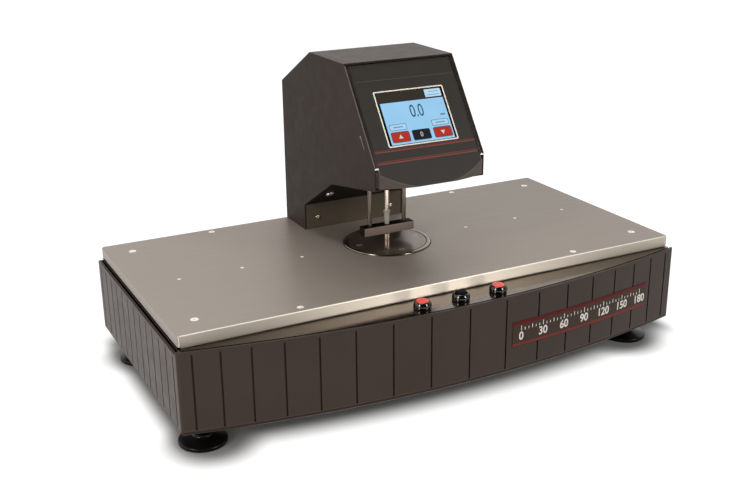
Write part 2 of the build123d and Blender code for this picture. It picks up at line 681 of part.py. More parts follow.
with BuildPart() as power_rocker:
    tilt = math.radians(ROCKER_TILT)
    pivot_plane = Plane(
        origin=(ROCKER_X - ROCKER_WIDTH / 2, ROCKER_PIVOT_Y, PORT_Z),
        x_dir=(0, math.cos(tilt), math.sin(tilt)),
        z_dir=(1, 0, 0),
    )
    with BuildSketch(pivot_plane):
        Polygon((-3.0, -7.0), (2.7, -7.3), (1.7, 0), (2.7, 7.3), (-3.0, 7.0), align=None)
    extrude(amount=ROCKER_WIDTH)
    with Locations(Location((ROCKER_X, ROCKER_PIVOT_Y, PORT_Z), (0, 90, 0))):
        Cylinder(ROCKER_PIN, ROCKER_PIN_LENGTH)
export_piece(power_rocker, "power_rocker")

# Data port: nine-way connector shell on its flange, with two jack posts
DATA_FLANGE = 0.8
DATA_SHELL = 1.8
DATA_DEPTH = 9.0
JACK_SPAN = 25.0
with BuildPart() as data_port:
    with BuildSketch(Plane.XZ.offset(-(SKIRT_BACK + DATA_FLANGE))):
        with Locations((DATA_X, PORT_Z)):
            RectangleRounded(30.8, 12.6, 1.5)
    extrude(amount=DATA_FLANGE)
    with BuildSketch(Plane.XZ.offset(-SKIRT_BACK)):
        with Locations((DATA_X, PORT_Z)):
            Rectangle(19.4, 10.8)
    extrude(amount=DATA_DEPTH)
    with BuildSketch(Plane.XZ.offset(-(SKIRT_BACK + DATA_FLANGE))):
        with Locations((DATA_X, PORT_Z)):
            Trapezoid(16.9, 8.3, 80, rotation=180)
        fillet(vertices(), 1.6)
    extrude(amount=-DATA_SHELL)
    with BuildSketch(Plane.XZ.offset(-(SKIRT_BACK + DATA_FLANGE))):
        with Locations((DATA_X, PORT_Z)):
            with GridLocations(JACK_SPAN, 0, 2, 1):
                RegularPolygon(2.6, 6)
    extrude(amount=-DATA_SHELL)
export_piece(data_port, "data_port")

# Power supply and main board on the tray
SUPPLY_PLACE = (-165.0, 126.0)
SUPPLY_SIZE = (118.0, 56.0)
SUPPLY_HEIGHT = 34.0
with BuildPart() as power_supply:
    with BuildSketch(Plane.XY.offset(TRAY_TOP)):
        with Locations(SUPPLY_PLACE):
            RectangleRounded(*SUPPLY_SIZE, 2.0)
    extrude(amount=SUPPLY_HEIGHT)
export_piece(power_supply, "power_supply")

BOARD_PLACE = (165.0, 14.0)
BOARD_SIZE = (152.0, 78.0)
BOARD_THICK = 1.6
POST_SPAN = (140.0, 66.0)
POST_HEIGHT = 8.0
PROCESSOR_PLACE = (-35.0, 6.0)
PROCESSOR_SIDE = 28.0
DRIVER_X = 35.0
DRIVER_PITCH = 20.0
PART_HEIGHT = 6.0
with BuildPart() as main_board:
    with Locations((*BOARD_PLACE, TRAY_TOP)):
        with GridLocations(*POST_SPAN, 2, 2):
            Cylinder(3.0, POST_HEIGHT, align=(Align.CENTER, Align.CENTER, Align.MIN))
    with BuildSketch(Plane.XY.offset(TRAY_TOP + POST_HEIGHT)):
        with Locations(BOARD_PLACE):
            Rectangle(*BOARD_SIZE)
    extrude(amount=BOARD_THICK)
    with BuildSketch(Plane.XY.offset(TRAY_TOP + POST_HEIGHT + BOARD_THICK)):
        with Locations(BOARD_PLACE):
            with Locations(PROCESSOR_PLACE):
                Rectangle(PROCESSOR_SIDE, PROCESSOR_SIDE)
            with Locations((DRIVER_X, 0)):
                with GridLocations(0, DRIVER_PITCH, 1, 3):
                    Rectangle(30.0, 10.0)
    extrude(amount=PART_HEIGHT)
export_piece(main_board, "main_board")

# Seats of the screws in the head
UNDERSIDE_PLANES = {
    sx: Plane(
        origin=(sx * 50.5, 64.7, facet_z(64.7)),
        x_dir=(1, 0, 0),
        z_dir=(0, facet_z(1) - facet_z(0), -1),
    )
    for sx in (-1, 1)
}
PEDESTAL_PLANES = {
    sx: Plane(origin=(sx * 50.0, PEDESTAL_Y, 148.4), x_dir=(1, 0, 0), z_dir=(0, -1, 0)) for sx in (-1, 1)
}
HOOD_SCREW_PLANES = [
    Plane(origin=(sx * 50.0, HEAD_BACK, z), x_dir=(-1, 0, 0), z_dir=(0, 1, 0))
    for z in (156.0, 212.0)
    for sx in (-1, 1)
]

# Column casting: pedestal, gusset, upright and the arm that guides the rods
CASTING_BACK = HEAD_BACK - SHEET
PEDESTAL_INNER = PEDESTAL_Y + SHEET
GUSSET_FRONT = 45.0
with BuildPart() as column_casting:
    with BuildSketch(Plane.YZ.offset(-62.0)):
        Polygon(
            (PEDESTAL_INNER, PLATE_TOP),
            (CASTING_BACK, PLATE_TOP),
            (CASTING_BACK, 225.0),
            (GUSSET_FRONT, 225.0),
            (GUSSET_FRONT, facet_z(GUSSET_FRONT, SHEET)),
            (PEDESTAL_INNER, facet_z(PEDESTAL_INNER, SHEET)),
            align=None,
        )
    extrude(amount=124.0)
    with BuildSketch(Plane.YZ.offset(-38.0)):
        Polygon(
            (-12.0, GUIDE_BOTTOM),
            (CASTING_BACK, GUIDE_BOTTOM),
            (CASTING_BACK, 290.0),
            (112.0, 290.0),
            (112.0, GUIDE_TOP),
            (-12.0, GUIDE_TOP),
            align=None,
        )
    extrude(amount=76.0)
    fillet(edges().filter_by(Axis.Z).filter_by_position(Axis.Y, -12.5, -11.5), 8.0)
    with Locations(*[(x, y, GUIDE_TOP) for x, y in ROD_PLACES]):
        Hole(BUSH_RADIUS, GUIDE_TOP - GUIDE_BOTTOM + 1)
    with Locations((0, PLATE_MID, GUIDE_TOP)):
        Hole(PROBE_RADIUS, GUIDE_TOP - GUIDE_BOTTOM + 1)
    with BuildSketch(Plane.XY.offset(PLATE_TOP)):
        with Locations(*COLUMN_PLACES):
            Circle(4.05)
    extrude(amount=24.0, mode=Mode.SUBTRACT)
    for screw_plane in UNDERSIDE_PLANES.values():
        with BuildSketch(screw_plane.offset(-SHEET)):
            Circle(2.55)
        extrude(amount=-12.0, mode=Mode.SUBTRACT)
    for screw_plane in PEDESTAL_PLANES.values():
        with BuildSketch(screw_plane.offset(-SHEET)):
            Circle(1.55)
        extrude(amount=-9.0, mode=Mode.SUBTRACT)
    for screw_plane in HOOD_SCREW_PLANES:
        with BuildSketch(screw_plane.offset(-SHEET)):
            Circle(1.55)
        extrude(amount=-9.0, mode=Mode.SUBTRACT)
export_piece(column_casting, "column_casting")

# Bolts that hold the column down from under the deck
BOLT_HEAD = 8.0
BOLT_RADIUS = 4.0
BOLT_TOP = 156.0
with BuildPart() as column_bolts:
    for bolt_x, bolt_y in COLUMN_PLACES:
        add(
            turned(
                bolt_x,
                bolt_y,
                [
                    (0, DECK_BOTTOM - BOLT_HEAD),
                    (6.5, DECK_BOTTOM - BOLT_HEAD),
                    (6.5, DECK_BOTTOM),
                    (BOLT_RADIUS, DECK_BOTTOM),
                    (BOLT_RADIUS, BOLT_TOP),
                    (0, BOLT_TOP),
                ],
            )
        )
export_piece(column_bolts, "column_bolts")

# Hood: two side plates, roof, rear slope and back, folded and welded as one sheet cover
with BuildPart() as head_hood:
    with BuildSketch(Plane.YZ.offset(-HEAD_HALF)):
        Polygon(
            (HEAD_BACK, PLATE_TOP),
            BACK_TOP,
            ROOF_REAR,
            ROOF_FRONT,
            SLOPE_END,
            CHIN_BACK,
            THROAT_VERTEX,
            PEDESTAL_TOP,
            (PEDESTAL_Y, PLATE_TOP),
            align=None,
        )
    extrude(amount=2 * HEAD_HALF)
    rear_bends = edges().filter_by(Axis.X).filter_by_position(Axis.Y, ROOF_REAR[0] - 1, HEAD_BACK + 1)
    fillet(rear_bends.filter_by_position(Axis.Z, BACK_TOP[1] - 1, HEAD_TOP + 1), SHEET)
    with BuildSketch(Plane.YZ.offset(-(HEAD_HALF - SHEET))):
        with BuildLine():
            Polyline(
                (CASTING_BACK, PLATE_TOP - 1),
                (CASTING_BACK, BACK_TOP[1] - 1.1),
                (ROOF_REAR[0] - 0.5, HEAD_TOP - SHEET),
                (-120.0, HEAD_TOP - SHEET),
                (-120.0, PLATE_TOP - 1),
                close=True,
            )
        make_face()
    extrude(amount=2 * (HEAD_HALF - SHEET), mode=Mode.SUBTRACT)
    slot_y, slot_z = slope_point(86.2, 10.6)
    slot_turn = math.degrees(math.atan2(SLOPE_DZ, SLOPE_DY))
    with BuildSketch(Plane.YZ.offset(-HEAD_HALF)):
        with Locations(Location((slot_y, slot_z, 0), (0, 0, slot_turn))):
            SlotOverall(15.2, 1.5)
    extrude(amount=SHEET, mode=Mode.SUBTRACT)
    for screw_plane in HOOD_SCREW_PLANES:
        with BuildSketch(screw_plane):
            Circle(1.6)
        extrude(amount=-SHEET, mode=Mode.SUBTRACT)
export_piece(head_hood, "head_hood")

# Throat panel: one folded sheet down the underside and the front of the pedestal
PANEL_SETBACK = 0.2
FRONT_FALL = (THROAT_VERTEX[1] - CHIN_BACK[1]) / (THROAT_VERTEX[0] - CHIN_BACK[0])
PANEL_FRONT = (CHIN_BACK[0] + PANEL_SETBACK, CHIN_BACK[1] + PANEL_SETBACK * FRONT_FALL)
with BuildPart() as throat_panel:
    with BuildSketch(Plane.YZ.offset(-(HEAD_HALF - SHEET))):
        with BuildLine():
            Polyline(PANEL_FRONT, THROAT_VERTEX, PEDESTAL_TOP, (PEDESTAL_Y, PLATE_TOP))
            offset(amount=SHEET, side=Side.LEFT, kind=Kind.INTERSECTION)
        make_face()
    extrude(amount=2 * (HEAD_HALF - SHEET))
    with BuildSketch(Plane.XY.offset(200.0)):
        with Locations(*ROD_PLACES):
            Circle(ROD_RADIUS + 1.5)
        with Locations((0, PLATE_MID)):
            Circle(PROBE_TUBE_RADIUS + 2)
    extrude(amount=20.0, mode=Mode.SUBTRACT)
    for screw_plane in UNDERSIDE_PLANES.values():
        with BuildSketch(screw_plane):
            Circle(2.6)
        extrude(amount=-SHEET, mode=Mode.SUBTRACT)
    for screw_plane in PEDESTAL_PLANES.values():
        with BuildSketch(screw_plane):
            Circle(1.6)
        extrude(amount=-SHEET, mode=Mode.SUBTRACT)
export_piece(throat_panel, "throat_panel")

# Screws of the throat panel, into the casting behind it
with BuildPart() as underside_screws:
    for screw_plane in UNDERSIDE_PLANES.values():
        add(pan_screw(screw_plane, 4.85, 2.6, 2.5, 12.0))
export_piece(underside_screws, "underside_screws")

with BuildPart() as pedestal_screws:
    for screw_plane in PEDESTAL_PLANES.values():
        add(pan_screw(screw_plane, 2.6, 1.5, 1.5, 9.0))
export_piece(pedestal_screws, "pedestal_screws")

# Fascia: sloping plate, bowed chin and a narrow floor folded back under it
with BuildPart() as fascia_panel:
    add(fascia_wedge(FASCIA_HALF, 0, CHIN_BOTTOM, FASCIA_INSET))
    add(
        fascia_wedge(FASCIA_HALF + 1, CHIN_WALL, CHIN_BOTTOM + CHIN_WALL, FASCIA_BACK),
        mode=Mode.SUBTRACT,
    )
    with BuildSketch(Plane.XY.offset(CHIN_BOTTOM)):
        with Locations((0, CHIN_REAR / 2)):
            Rectangle(2 * FASCIA_HALF + 2, -CHIN_REAR)
    extrude(amount=CHIN_WALL, mode=Mode.SUBTRACT)
    with BuildSketch(slope_plane(0)):
        with Locations((0, 10 - FASCIA_START)):
            Rectangle(2 * FASCIA_HALF + 2, 20)
        with Locations((0, -SCREEN_V)):
            RectangleRounded(GLASS_WIDTH + 1, GLASS_HEIGHT + 1, 1.0)
    extrude(amount=-2 * FASCIA_BACK, mode=Mode.SUBTRACT)
    with BuildSketch(slope_plane(FASCIA_BACK)):
        with Locations((0, -SCREEN_V)):
            with GridLocations(*DISPLAY_STUD_SPAN, 2, 2):
                Circle(1.5)
    extrude(amount=-(MODULE_THICK + 3.4))
export_piece(fascia_panel, "fascia_panel")

# Printed film on the fascia, cut out round the display frame
with BuildPart() as fascia_film:
    add(fascia_wedge(FILM_HALF, 1.0, CHIN_BOTTOM + 1.0, FASCIA_INSET - FILM_THICK))
    add(fascia_wedge(FASCIA_HALF, 0, CHIN_BOTTOM, FASCIA_INSET), mode=Mode.SUBTRACT)
    with BuildSketch(slope_plane(0)):
        with Locations((0, -FILM_START)):
            Rectangle(2 * FASCIA_HALF, FILM_START + FASCIA_BACK, align=(Align.CENTER, Align.MIN))
        with Locations((0, -SCREEN_V)):
            RectangleRounded(FRAME_WIDTH, FRAME_HEIGHT, 1.6)
    extrude(amount=-2 * FASCIA_INSET, mode=Mode.SUBTRACT)
export_piece(fascia_film, "fascia_film")

# Display: frame on the front of the fascia, touch glass, module and nuts behind
with BuildPart() as display_frame:
    with BuildSketch(slope_plane(FASCIA_INSET)):
        with Locations((0, -SCREEN_V)):
            RectangleRounded(FRAME_WIDTH, FRAME_HEIGHT, 1.6)
            Rectangle(FRAME_WIDTH - 2 * FRAME_BORDER, FRAME_HEIGHT - 2 * FRAME_BORDER, mode=Mode.SUBTRACT)
    extrude(amount=FRAME_THICK)
    front_face = faces().sort_by(Axis(slope_plane(0).origin, slope_plane(0).z_dir))[-1]
    chamfer(front_face.edges(), 0.3)
export_piece(display_frame, "display_frame")

with BuildPart() as touch_glass:
    with BuildSketch(slope_plane(GLASS_DEPTH)):
        with Locations((0, -SCREEN_V)):
            Rectangle(GLASS_WIDTH, GLASS_HEIGHT)
    extrude(amount=-GLASS_THICK)
export_piece(touch_glass, "touch_glass")

with BuildPart() as display_module:
    with BuildSketch(slope_plane(FASCIA_BACK)):
        with Locations((0, -SCREEN_V)):
            Rectangle(MODULE_WIDTH, MODULE_HEIGHT)
            with GridLocations(*DISPLAY_STUD_SPAN, 2, 2):
                Circle(1.6, mode=Mode.SUBTRACT)
    extrude(amount=-MODULE_THICK)
    with BuildSketch(slope_plane(FASCIA_BACK)):
        with Locations((0, -SCREEN_V)):
            Rectangle(GLASS_WIDTH, GLASS_HEIGHT)
    extrude(amount=FASCIA_BACK - GLASS_DEPTH - GLASS_THICK)
    with BuildSketch(slope_plane(FASCIA_BACK + MODULE_THICK)):
        with Locations((-18.0, -SCREEN_V + 6.0)):
            Rectangle(22.0, 22.0)
        with Locations((22.0, -SCREEN_V + 12.0), (22.0, -SCREEN_V - 8.0)):
            Rectangle(16.0, 10.0)
        with Locations((-18.0, -SCREEN_V - 20.0)):
            Rectangle(30.0, 8.0)
    extrude(amount=-CHIP_HEIGHT)
export_piece(display_module, "display_module")

with BuildPart() as display_nuts:
    with BuildSketch(slope_plane(FASCIA_BACK + MODULE_THICK)):
        with Locations((0, -SCREEN_V)):
            with GridLocations(*DISPLAY_STUD_SPAN, 2, 2):
                RegularPolygon(3.1, 6)
                Circle(1.5, mode=Mode.SUBTRACT)
    extrude(amount=-2.4)
export_piece(display_nuts, "display_nuts")

# Angle rails that join the fascia's back to the hood's side plates
RAIL_LEG = 10.0
RAIL_THICK = 2.0
RAIL_FROM = 20.0
RAIL_TO = 118.0
HOOD_INNER = HEAD_HALF - SHEET
with BuildPart() as fascia_rails:
    with BuildSketch(slope_plane(FASCIA_BACK)):
        with Locations((0, -(RAIL_FROM + RAIL_TO) / 2)):
            with GridLocations(2 * HOOD_INNER - RAIL_LEG, 0, 2, 1):
                Rectangle(RAIL_LEG, RAIL_TO - RAIL_FROM)
    extrude(amount=-RAIL_THICK)
    with BuildSketch(slope_plane(FASCIA_BACK)):
        with Locations((0, -(RAIL_FROM + RAIL_TO) / 2)):
            with GridLocations(2 * HOOD_INNER - RAIL_THICK, 0, 2, 1):
                Rectangle(RAIL_THICK, RAIL_TO - RAIL_FROM)
    extrude(amount=-RAIL_LEG)
export_piece(fascia_rails, "fascia_rails")

# Crossbar between the two rods, over the anvil
with BuildPart() as crossbar:
    with BuildSketch(Plane.XY.offset(BAR_BOTTOM)):
        with Locations((0, PLATE_MID)):
            RectangleRounded(2 * BAR_HALF, BAR_DEPTH, 1.0)
    extrude(amount=BAR_TOP - BAR_BOTTOM)
    chamfer(faces().sort_by(Axis.Z)[-1].edges(), 0.5)
    with BuildSketch(Plane.XY.offset(BAR_TOP)):
        with Locations(*ROD_PLACES):
            Circle(ROD_RADIUS)
    extrude(amount=ROD_BOTTOM - BAR_TOP, mode=Mode.SUBTRACT)
    with BuildSketch(Plane.XY.offset(BAR_BOTTOM)):
        with Locations((0, PLATE_MID)):
            Circle(SPINDLE_RADIUS)
    extrude(amount=SPINDLE_TOP - BAR_BOTTOM, mode=Mode.SUBTRACT)
    with BuildSketch(Plane.XY.offset(SPINDLE_TOP)):
        with Locations((0, PLATE_MID)):
            Circle(PLUNGER_RADIUS)
    extrude(amount=BAR_TOP - SPINDLE_TOP, mode=Mode.SUBTRACT)
export_piece(crossbar, "crossbar")

# Guide rods, pressed into the crossbar and clamped in the yoke at their top
with BuildPart() as guide_rods:
    for rod_x, rod_y in ROD_PLACES:
        add(
            turned(
                rod_x,
                rod_y,
                [
                    (0, ROD_BOTTOM),
                    (ROD_RADIUS, ROD_BOTTOM),
                    (ROD_RADIUS, YOKE_TOP + 1.5),
                    (ROD_RADIUS - 0.5, YOKE_TOP + 2),
                    (0, YOKE_TOP + 2),
                ],
            )
        )
export_piece(guide_rods, "guide_rods")

# Spindle with a lapped face that comes down on the anvil
with BuildPart() as measuring_spindle:
    add(
        turned(
            0,
            PLATE_MID,
            [
                (0, ANVIL_TOP + CONTACT_GAP),
                (SPINDLE_RADIUS - 0.4, ANVIL_TOP + CONTACT_GAP),
                (SPINDLE_RADIUS, ANVIL_TOP + CONTACT_GAP + 0.4),
                (SPINDLE_RADIUS, SPINDLE_TOP),
                (0, SPINDLE_TOP),
            ],
        )
    )
export_piece(measuring_spindle, "measuring_spindle")

# Displacement probe: body and tube fixed in the arm, sleeved plunger riding on the crossbar
with BuildPart() as probe_body:
    add(
        turned(
            0,
            PLATE_MID,
            [
                (PLUNGER_RADIUS + RUNNING_FIT, PROBE_TUBE_END),
                (PROBE_TUBE_RADIUS, PROBE_TUBE_END),
                (PROBE_TUBE_RADIUS, GUIDE_BOTTOM - 8),
                (PROBE_RADIUS, GUIDE_BOTTOM - 6),
                (PROBE_RADIUS, GUIDE_TOP),
                (PROBE_RADIUS + 3, GUIDE_TOP),
                (PROBE_RADIUS + 3, GUIDE_TOP + 3),
                (PROBE_RADIUS, GUIDE_TOP + 3),
                (PROBE_RADIUS, PROBE_TOP),
                (0, PROBE_TOP),
                (0, PLUNGER_TOP + FOOT_TRAVEL + 2),
                (PLUNGER_RADIUS + RUNNING_FIT, PLUNGER_TOP + FOOT_TRAVEL + 2),
            ],
        )
    )
export_piece(probe_body, "probe_body")

with BuildPart() as probe_plunger:
    add(
        turned(
            0,
            PLATE_MID,
            [
                (0, SPINDLE_TOP),
                (PLUNGER_RADIUS, SPINDLE_TOP),
                (PLUNGER_RADIUS, BAR_TOP),
                (SLEEVE_FOOT, BAR_TOP),
                (SLEEVE_FOOT + 0.6, SLEEVE_FLOOR),
                (SLEEVE_FOOT + 0.7, SLEEVE_TOP - 2.6),
                (SLEEVE_RIM, SLEEVE_TOP - 2.5),
                (SLEEVE_RIM, SLEEVE_TOP - 0.4),
                (SLEEVE_RIM - 0.4, SLEEVE_TOP),
                (PROBE_TUBE_RADIUS + RUNNING_FIT, SLEEVE_TOP),
                (PROBE_TUBE_RADIUS + RUNNING_FIT, SLEEVE_FLOOR),
                (PLUNGER_RADIUS, SLEEVE_FLOOR),
                (PLUNGER_RADIUS, PLUNGER_TOP),
                (0, PLUNGER_TOP),
            ],
        )
    )
export_piece(probe_plunger, "probe_plunger")

# Plain bushes in the arm, one for each rod
with BuildPart() as guide_bushes:
    with BuildSketch(Plane.XY.offset(GUIDE_BOTTOM - 2)):
        with Locations(*ROD_PLACES):
            Circle(BUSH_RADIUS)
            Circle(ROD_RADIUS + ROD_FIT, mode=Mode.SUBTRACT)
    extrude(amount=GUIDE_TOP - GUIDE_BOTTOM + 2)
    with BuildSketch(Plane.XY.offset(GUIDE_TOP)):
        with Locations(*ROD_PLACES):
            Circle(BUSH_RADIUS + 2)
            Circle(ROD_RADIUS + ROD_FIT, mode=Mode.SUBTRACT)
    extrude(amount=2.0)
export_piece(guide_bushes, "guide_bushes")

# Dead weight that sets the contact force, a press fit on both rods
WEIGHT_SIZE = (80.0, 44.0)
WEIGHT_BORE = 9.0
with BuildPart() as load_weight:
    with BuildSketch(Plane.XY.offset(WEIGHT_BOTTOM)):
        with Locations((0, PLATE_MID)):
            RectangleRounded(*WEIGHT_SIZE, 4.0)
            Circle(WEIGHT_BORE, mode=Mode.SUBTRACT)
        with Locations(*ROD_PLACES):
            Circle(ROD_RADIUS, mode=Mode.SUBTRACT)
    extrude(amount=WEIGHT_TOP - WEIGHT_BOTTOM)
    chamfer(faces().sort_by(Axis.Z)[-1].outer_wire().edges(), 1.0)
export_piece(load_weight, "load_weight")

# Lift drive: motor on the arm, lead screw, nut, and the yoke that carries the rods
NUT_RADIUS = 7.5
NUT_FLANGE = 3.5
NUT_REACH = 10.0
MOTOR_COLLAR = 11.0
MOTOR_COLLAR_HEIGHT = 2.0
SCREW_SEAT = 5.0
YOKE_BAR = (60.0, 15.0)
YOKE_NECK = 24.0
with BuildPart() as lift_motor:
    with BuildSketch(Plane.XY.offset(GUIDE_TOP)):
        with Locations((0, DRIVE_Y)):
            Rectangle(MOTOR_SIDE, MOTOR_SIDE)
        chamfer(vertices(), 4.0)
    extrude(amount=MOTOR_TOP - GUIDE_TOP)
    with Locations((0, DRIVE_Y, MOTOR_TOP)):
        Cylinder(MOTOR_COLLAR, MOTOR_COLLAR_HEIGHT, align=(Align.CENTER, Align.CENTER, Align.MIN))
    with BuildSketch(Plane.XY.offset(MOTOR_TOP + MOTOR_COLLAR_HEIGHT)):
        with Locations((0, DRIVE_Y)):
            Circle(SCREW_RADIUS + RUNNING_FIT)
    extrude(amount=-(MOTOR_COLLAR_HEIGHT + SCREW_SEAT + 1), mode=Mode.SUBTRACT)
export_piece(lift_motor, "lift_motor")

with BuildPart() as lead_screw:
    add(
        turned(
            0,
            DRIVE_Y,
            [
                (0, MOTOR_TOP - SCREW_SEAT),
                (SCREW_RADIUS, MOTOR_TOP - SCREW_SEAT),
                (SCREW_RADIUS, SCREW_TOP - 1),
                (SCREW_RADIUS - 1, SCREW_TOP),
                (0, SCREW_TOP),
            ],
        )
    )
export_piece(lead_screw, "lead_screw")

with BuildPart() as lift_nut:
    add(
        turned(
            0,
            DRIVE_Y,
            [
                (SCREW_RADIUS + RUNNING_FIT, YOKE_BOTTOM - NUT_REACH),
                (NUT_RADIUS, YOKE_BOTTOM - NUT_REACH),
                (NUT_RADIUS, YOKE_BOTTOM - NUT_FLANGE),
                (NUT_RADIUS + NUT_FLANGE, YOKE_BOTTOM - NUT_FLANGE),
                (NUT_RADIUS + NUT_FLANGE, YOKE_BOTTOM),
                (NUT_RADIUS, YOKE_BOTTOM),
                (NUT_RADIUS, YOKE_TOP),
                (SCREW_RADIUS + RUNNING_FIT, YOKE_TOP),
            ],
        )
    )
export_piece(lift_nut, "lift_nut")

with BuildPart() as lift_yoke:
    with BuildSketch(Plane.XY.offset(YOKE_BOTTOM)):
        with Locations((0, PLATE_MID)):
            Rectangle(*YOKE_BAR)
        with Locations((0, (PLATE_MID + DRIVE_Y) / 2)):
            Rectangle(YOKE_NECK, DRIVE_Y - PLATE_MID)
        with Locations((0, DRIVE_Y)):
            Circle(YOKE_NECK / 2)
            Circle(NUT_RADIUS, mode=Mode.SUBTRACT)
        with Locations(*ROD_PLACES):
            Circle(ROD_RADIUS, mode=Mode.SUBTRACT)
    extrude(amount=YOKE_TOP - YOKE_BOTTOM)
export_piece(lift_yoke, "lift_yoke")

# Screws that hold the hood to the back of the casting
with BuildPart() as hood_screws:
    for screw_plane in HOOD_SCREW_PLANES:
        add(pan_screw(screw_plane, 3.0, 1.6, 1.5, 9.0))
export_piece(hood_screws, "hood_screws")
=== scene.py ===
import math

import bmesh
import bpy
from mathutils import Matrix, Vector


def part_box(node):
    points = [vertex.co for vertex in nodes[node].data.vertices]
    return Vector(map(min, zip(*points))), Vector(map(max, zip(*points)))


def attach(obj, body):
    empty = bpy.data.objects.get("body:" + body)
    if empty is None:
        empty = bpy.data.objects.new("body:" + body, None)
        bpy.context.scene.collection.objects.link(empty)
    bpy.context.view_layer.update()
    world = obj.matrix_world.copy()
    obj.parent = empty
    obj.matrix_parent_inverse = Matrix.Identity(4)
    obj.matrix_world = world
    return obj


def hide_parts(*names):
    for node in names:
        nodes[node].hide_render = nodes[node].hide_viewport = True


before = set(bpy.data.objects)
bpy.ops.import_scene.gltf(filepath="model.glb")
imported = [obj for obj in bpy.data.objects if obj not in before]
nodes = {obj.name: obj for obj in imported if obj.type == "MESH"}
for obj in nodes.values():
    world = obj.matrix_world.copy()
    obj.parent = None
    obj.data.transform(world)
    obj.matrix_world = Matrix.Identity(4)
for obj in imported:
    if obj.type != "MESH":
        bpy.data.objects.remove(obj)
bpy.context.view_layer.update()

# Bench thickness gauge. Sizes are in metres in the gauge's own frame: X runs along the
# base, -Y is the side that the operator faces, and Z is up from the bench.
SIDES = (-1, 1)
FORWARD = (0, -1, 0)
BACKWARD = (0, 1, 0)
LEFTWARD = Vector((-1, 0, 0))
QUARTER_TURN = math.pi / 2
CLEARANCE = 0.00005

# Ground plate, and the axis of measurement in its middle
PLATE_LOW, PLATE_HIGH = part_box("surface_plate")
PLATE_TOP = PLATE_HIGH.z
AXIS_Y = (PLATE_LOW.y + PLATE_HIGH.y) / 2
CORNER_SCREW_SPAN = (0.544, 0.2219)
EDGE_SCREW_SPAN = (0.338, 0.2655)
CENTRE_SCREW_X = (0.1086, 0.1803, 0.2521)
ANVIL_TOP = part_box("anvil")[1].z
ANVIL_RADIUS = 0.051
ANVIL_SCREW_CIRCLE = 0.0366

# Measuring foot
ROD_X = 0.0224
ROD_RADIUS = 0.0025
ROD_LOW, ROD_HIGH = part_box("guide_rods")
BAR_LOW, BAR_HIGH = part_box("crossbar")
SPINDLE_RADIUS = 0.003
SPINDLE_TOP = 0.1518

# Head: corners of its underside as (Y, Z), and the seats of its screws
THROAT_VERTEX = (0.0235, 0.2119)
PEDESTAL_TOP = (0.1023, 0.1659)
HEAD_BACK = 0.1585
FACET_SCREW = (0.0505, 0.0647)
PEDESTAL_SCREW = (0.050, 0.1484)
HOOD_SCREW_X = 0.050
HOOD_SCREW_Z = (0.156, 0.212)

# Sloping fascia: V is measured down the slope from the roof's front edge, U across it
SLOPE_TOP = Vector((0, -0.0125, 0.353))
SLOPE_FOOT = Vector((0, -0.082, 0.2555))
DOWN_SLOPE = (SLOPE_FOOT - SLOPE_TOP).normalized()
OUT_OF_SLOPE = Vector((0, DOWN_SLOPE.z, -DOWN_SLOPE.y))
GLASS_DEPTH = 0.0012
LAYER = 0.00005

# Bowed front of the base, and the badge plate on it
SKIRT_HALF = 0.3042
BOW_APEX = -0.167
BOW_RISE = 0.035
BOW_RADIUS = (SKIRT_HALF**2 + BOW_RISE**2) / (2 * BOW_RISE)
BADGE_PROUD = 0.0008

# Levelling feet
PAD_RADIUS = 0.0255
PAD_RIM = 0.0046
HUB_RADIUS = 0.010
HUB_TOP = 0.011
STUD_RADIUS = 0.006
STUD_NECK = 0.005
STUD_BOTTOM = 0.00305
STUD_TOP = 0.086
THREAD_ROOT = 0.0052
THREAD_PITCH = 0.00175
THREAD_TURNS = 13

# Push buttons
BUTTON_PITCH = 0.0465
BUTTON_Y = -0.1475
SHELF_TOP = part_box("deck_plate")[1].z
BEZEL_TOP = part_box("button_bezels")[1].z
BARREL_FOOT = 0.100
BARREL_RADIUS = 0.006
WELL_FLOOR = BEZEL_TOP - 0.0042
CAP_RADIUS = 0.0065
STEM_RADIUS = 0.0025

# Connectors at the back
PORT_Z = 0.078
INLET_X = -0.070
INLET_SCREW_SPAN = 0.040
INLET_SCREW_SEAT = 0.1658
ROCKER_X = -0.025
ROCKER_PIVOT_Y = 0.163
ROCKER_TILT = math.radians(7)
DATA_X = 0.060
DATA_FACE = 0.1668


def shade(red, green, blue):
    """Scene colour of a shade picked as 0-255 values."""
    channels = []
    for value in (red, green, blue):
        value = value / 255
        channels.append(value / 12.92 if value <= 0.04045 else ((value + 0.055) / 1.055) ** 2.4)
    return (*channels, 1.0)


def dimmed(colour, share):
    """The same colour at a share of its strength."""
    return (*(channel * share for channel in colour[:3]), 1.0)


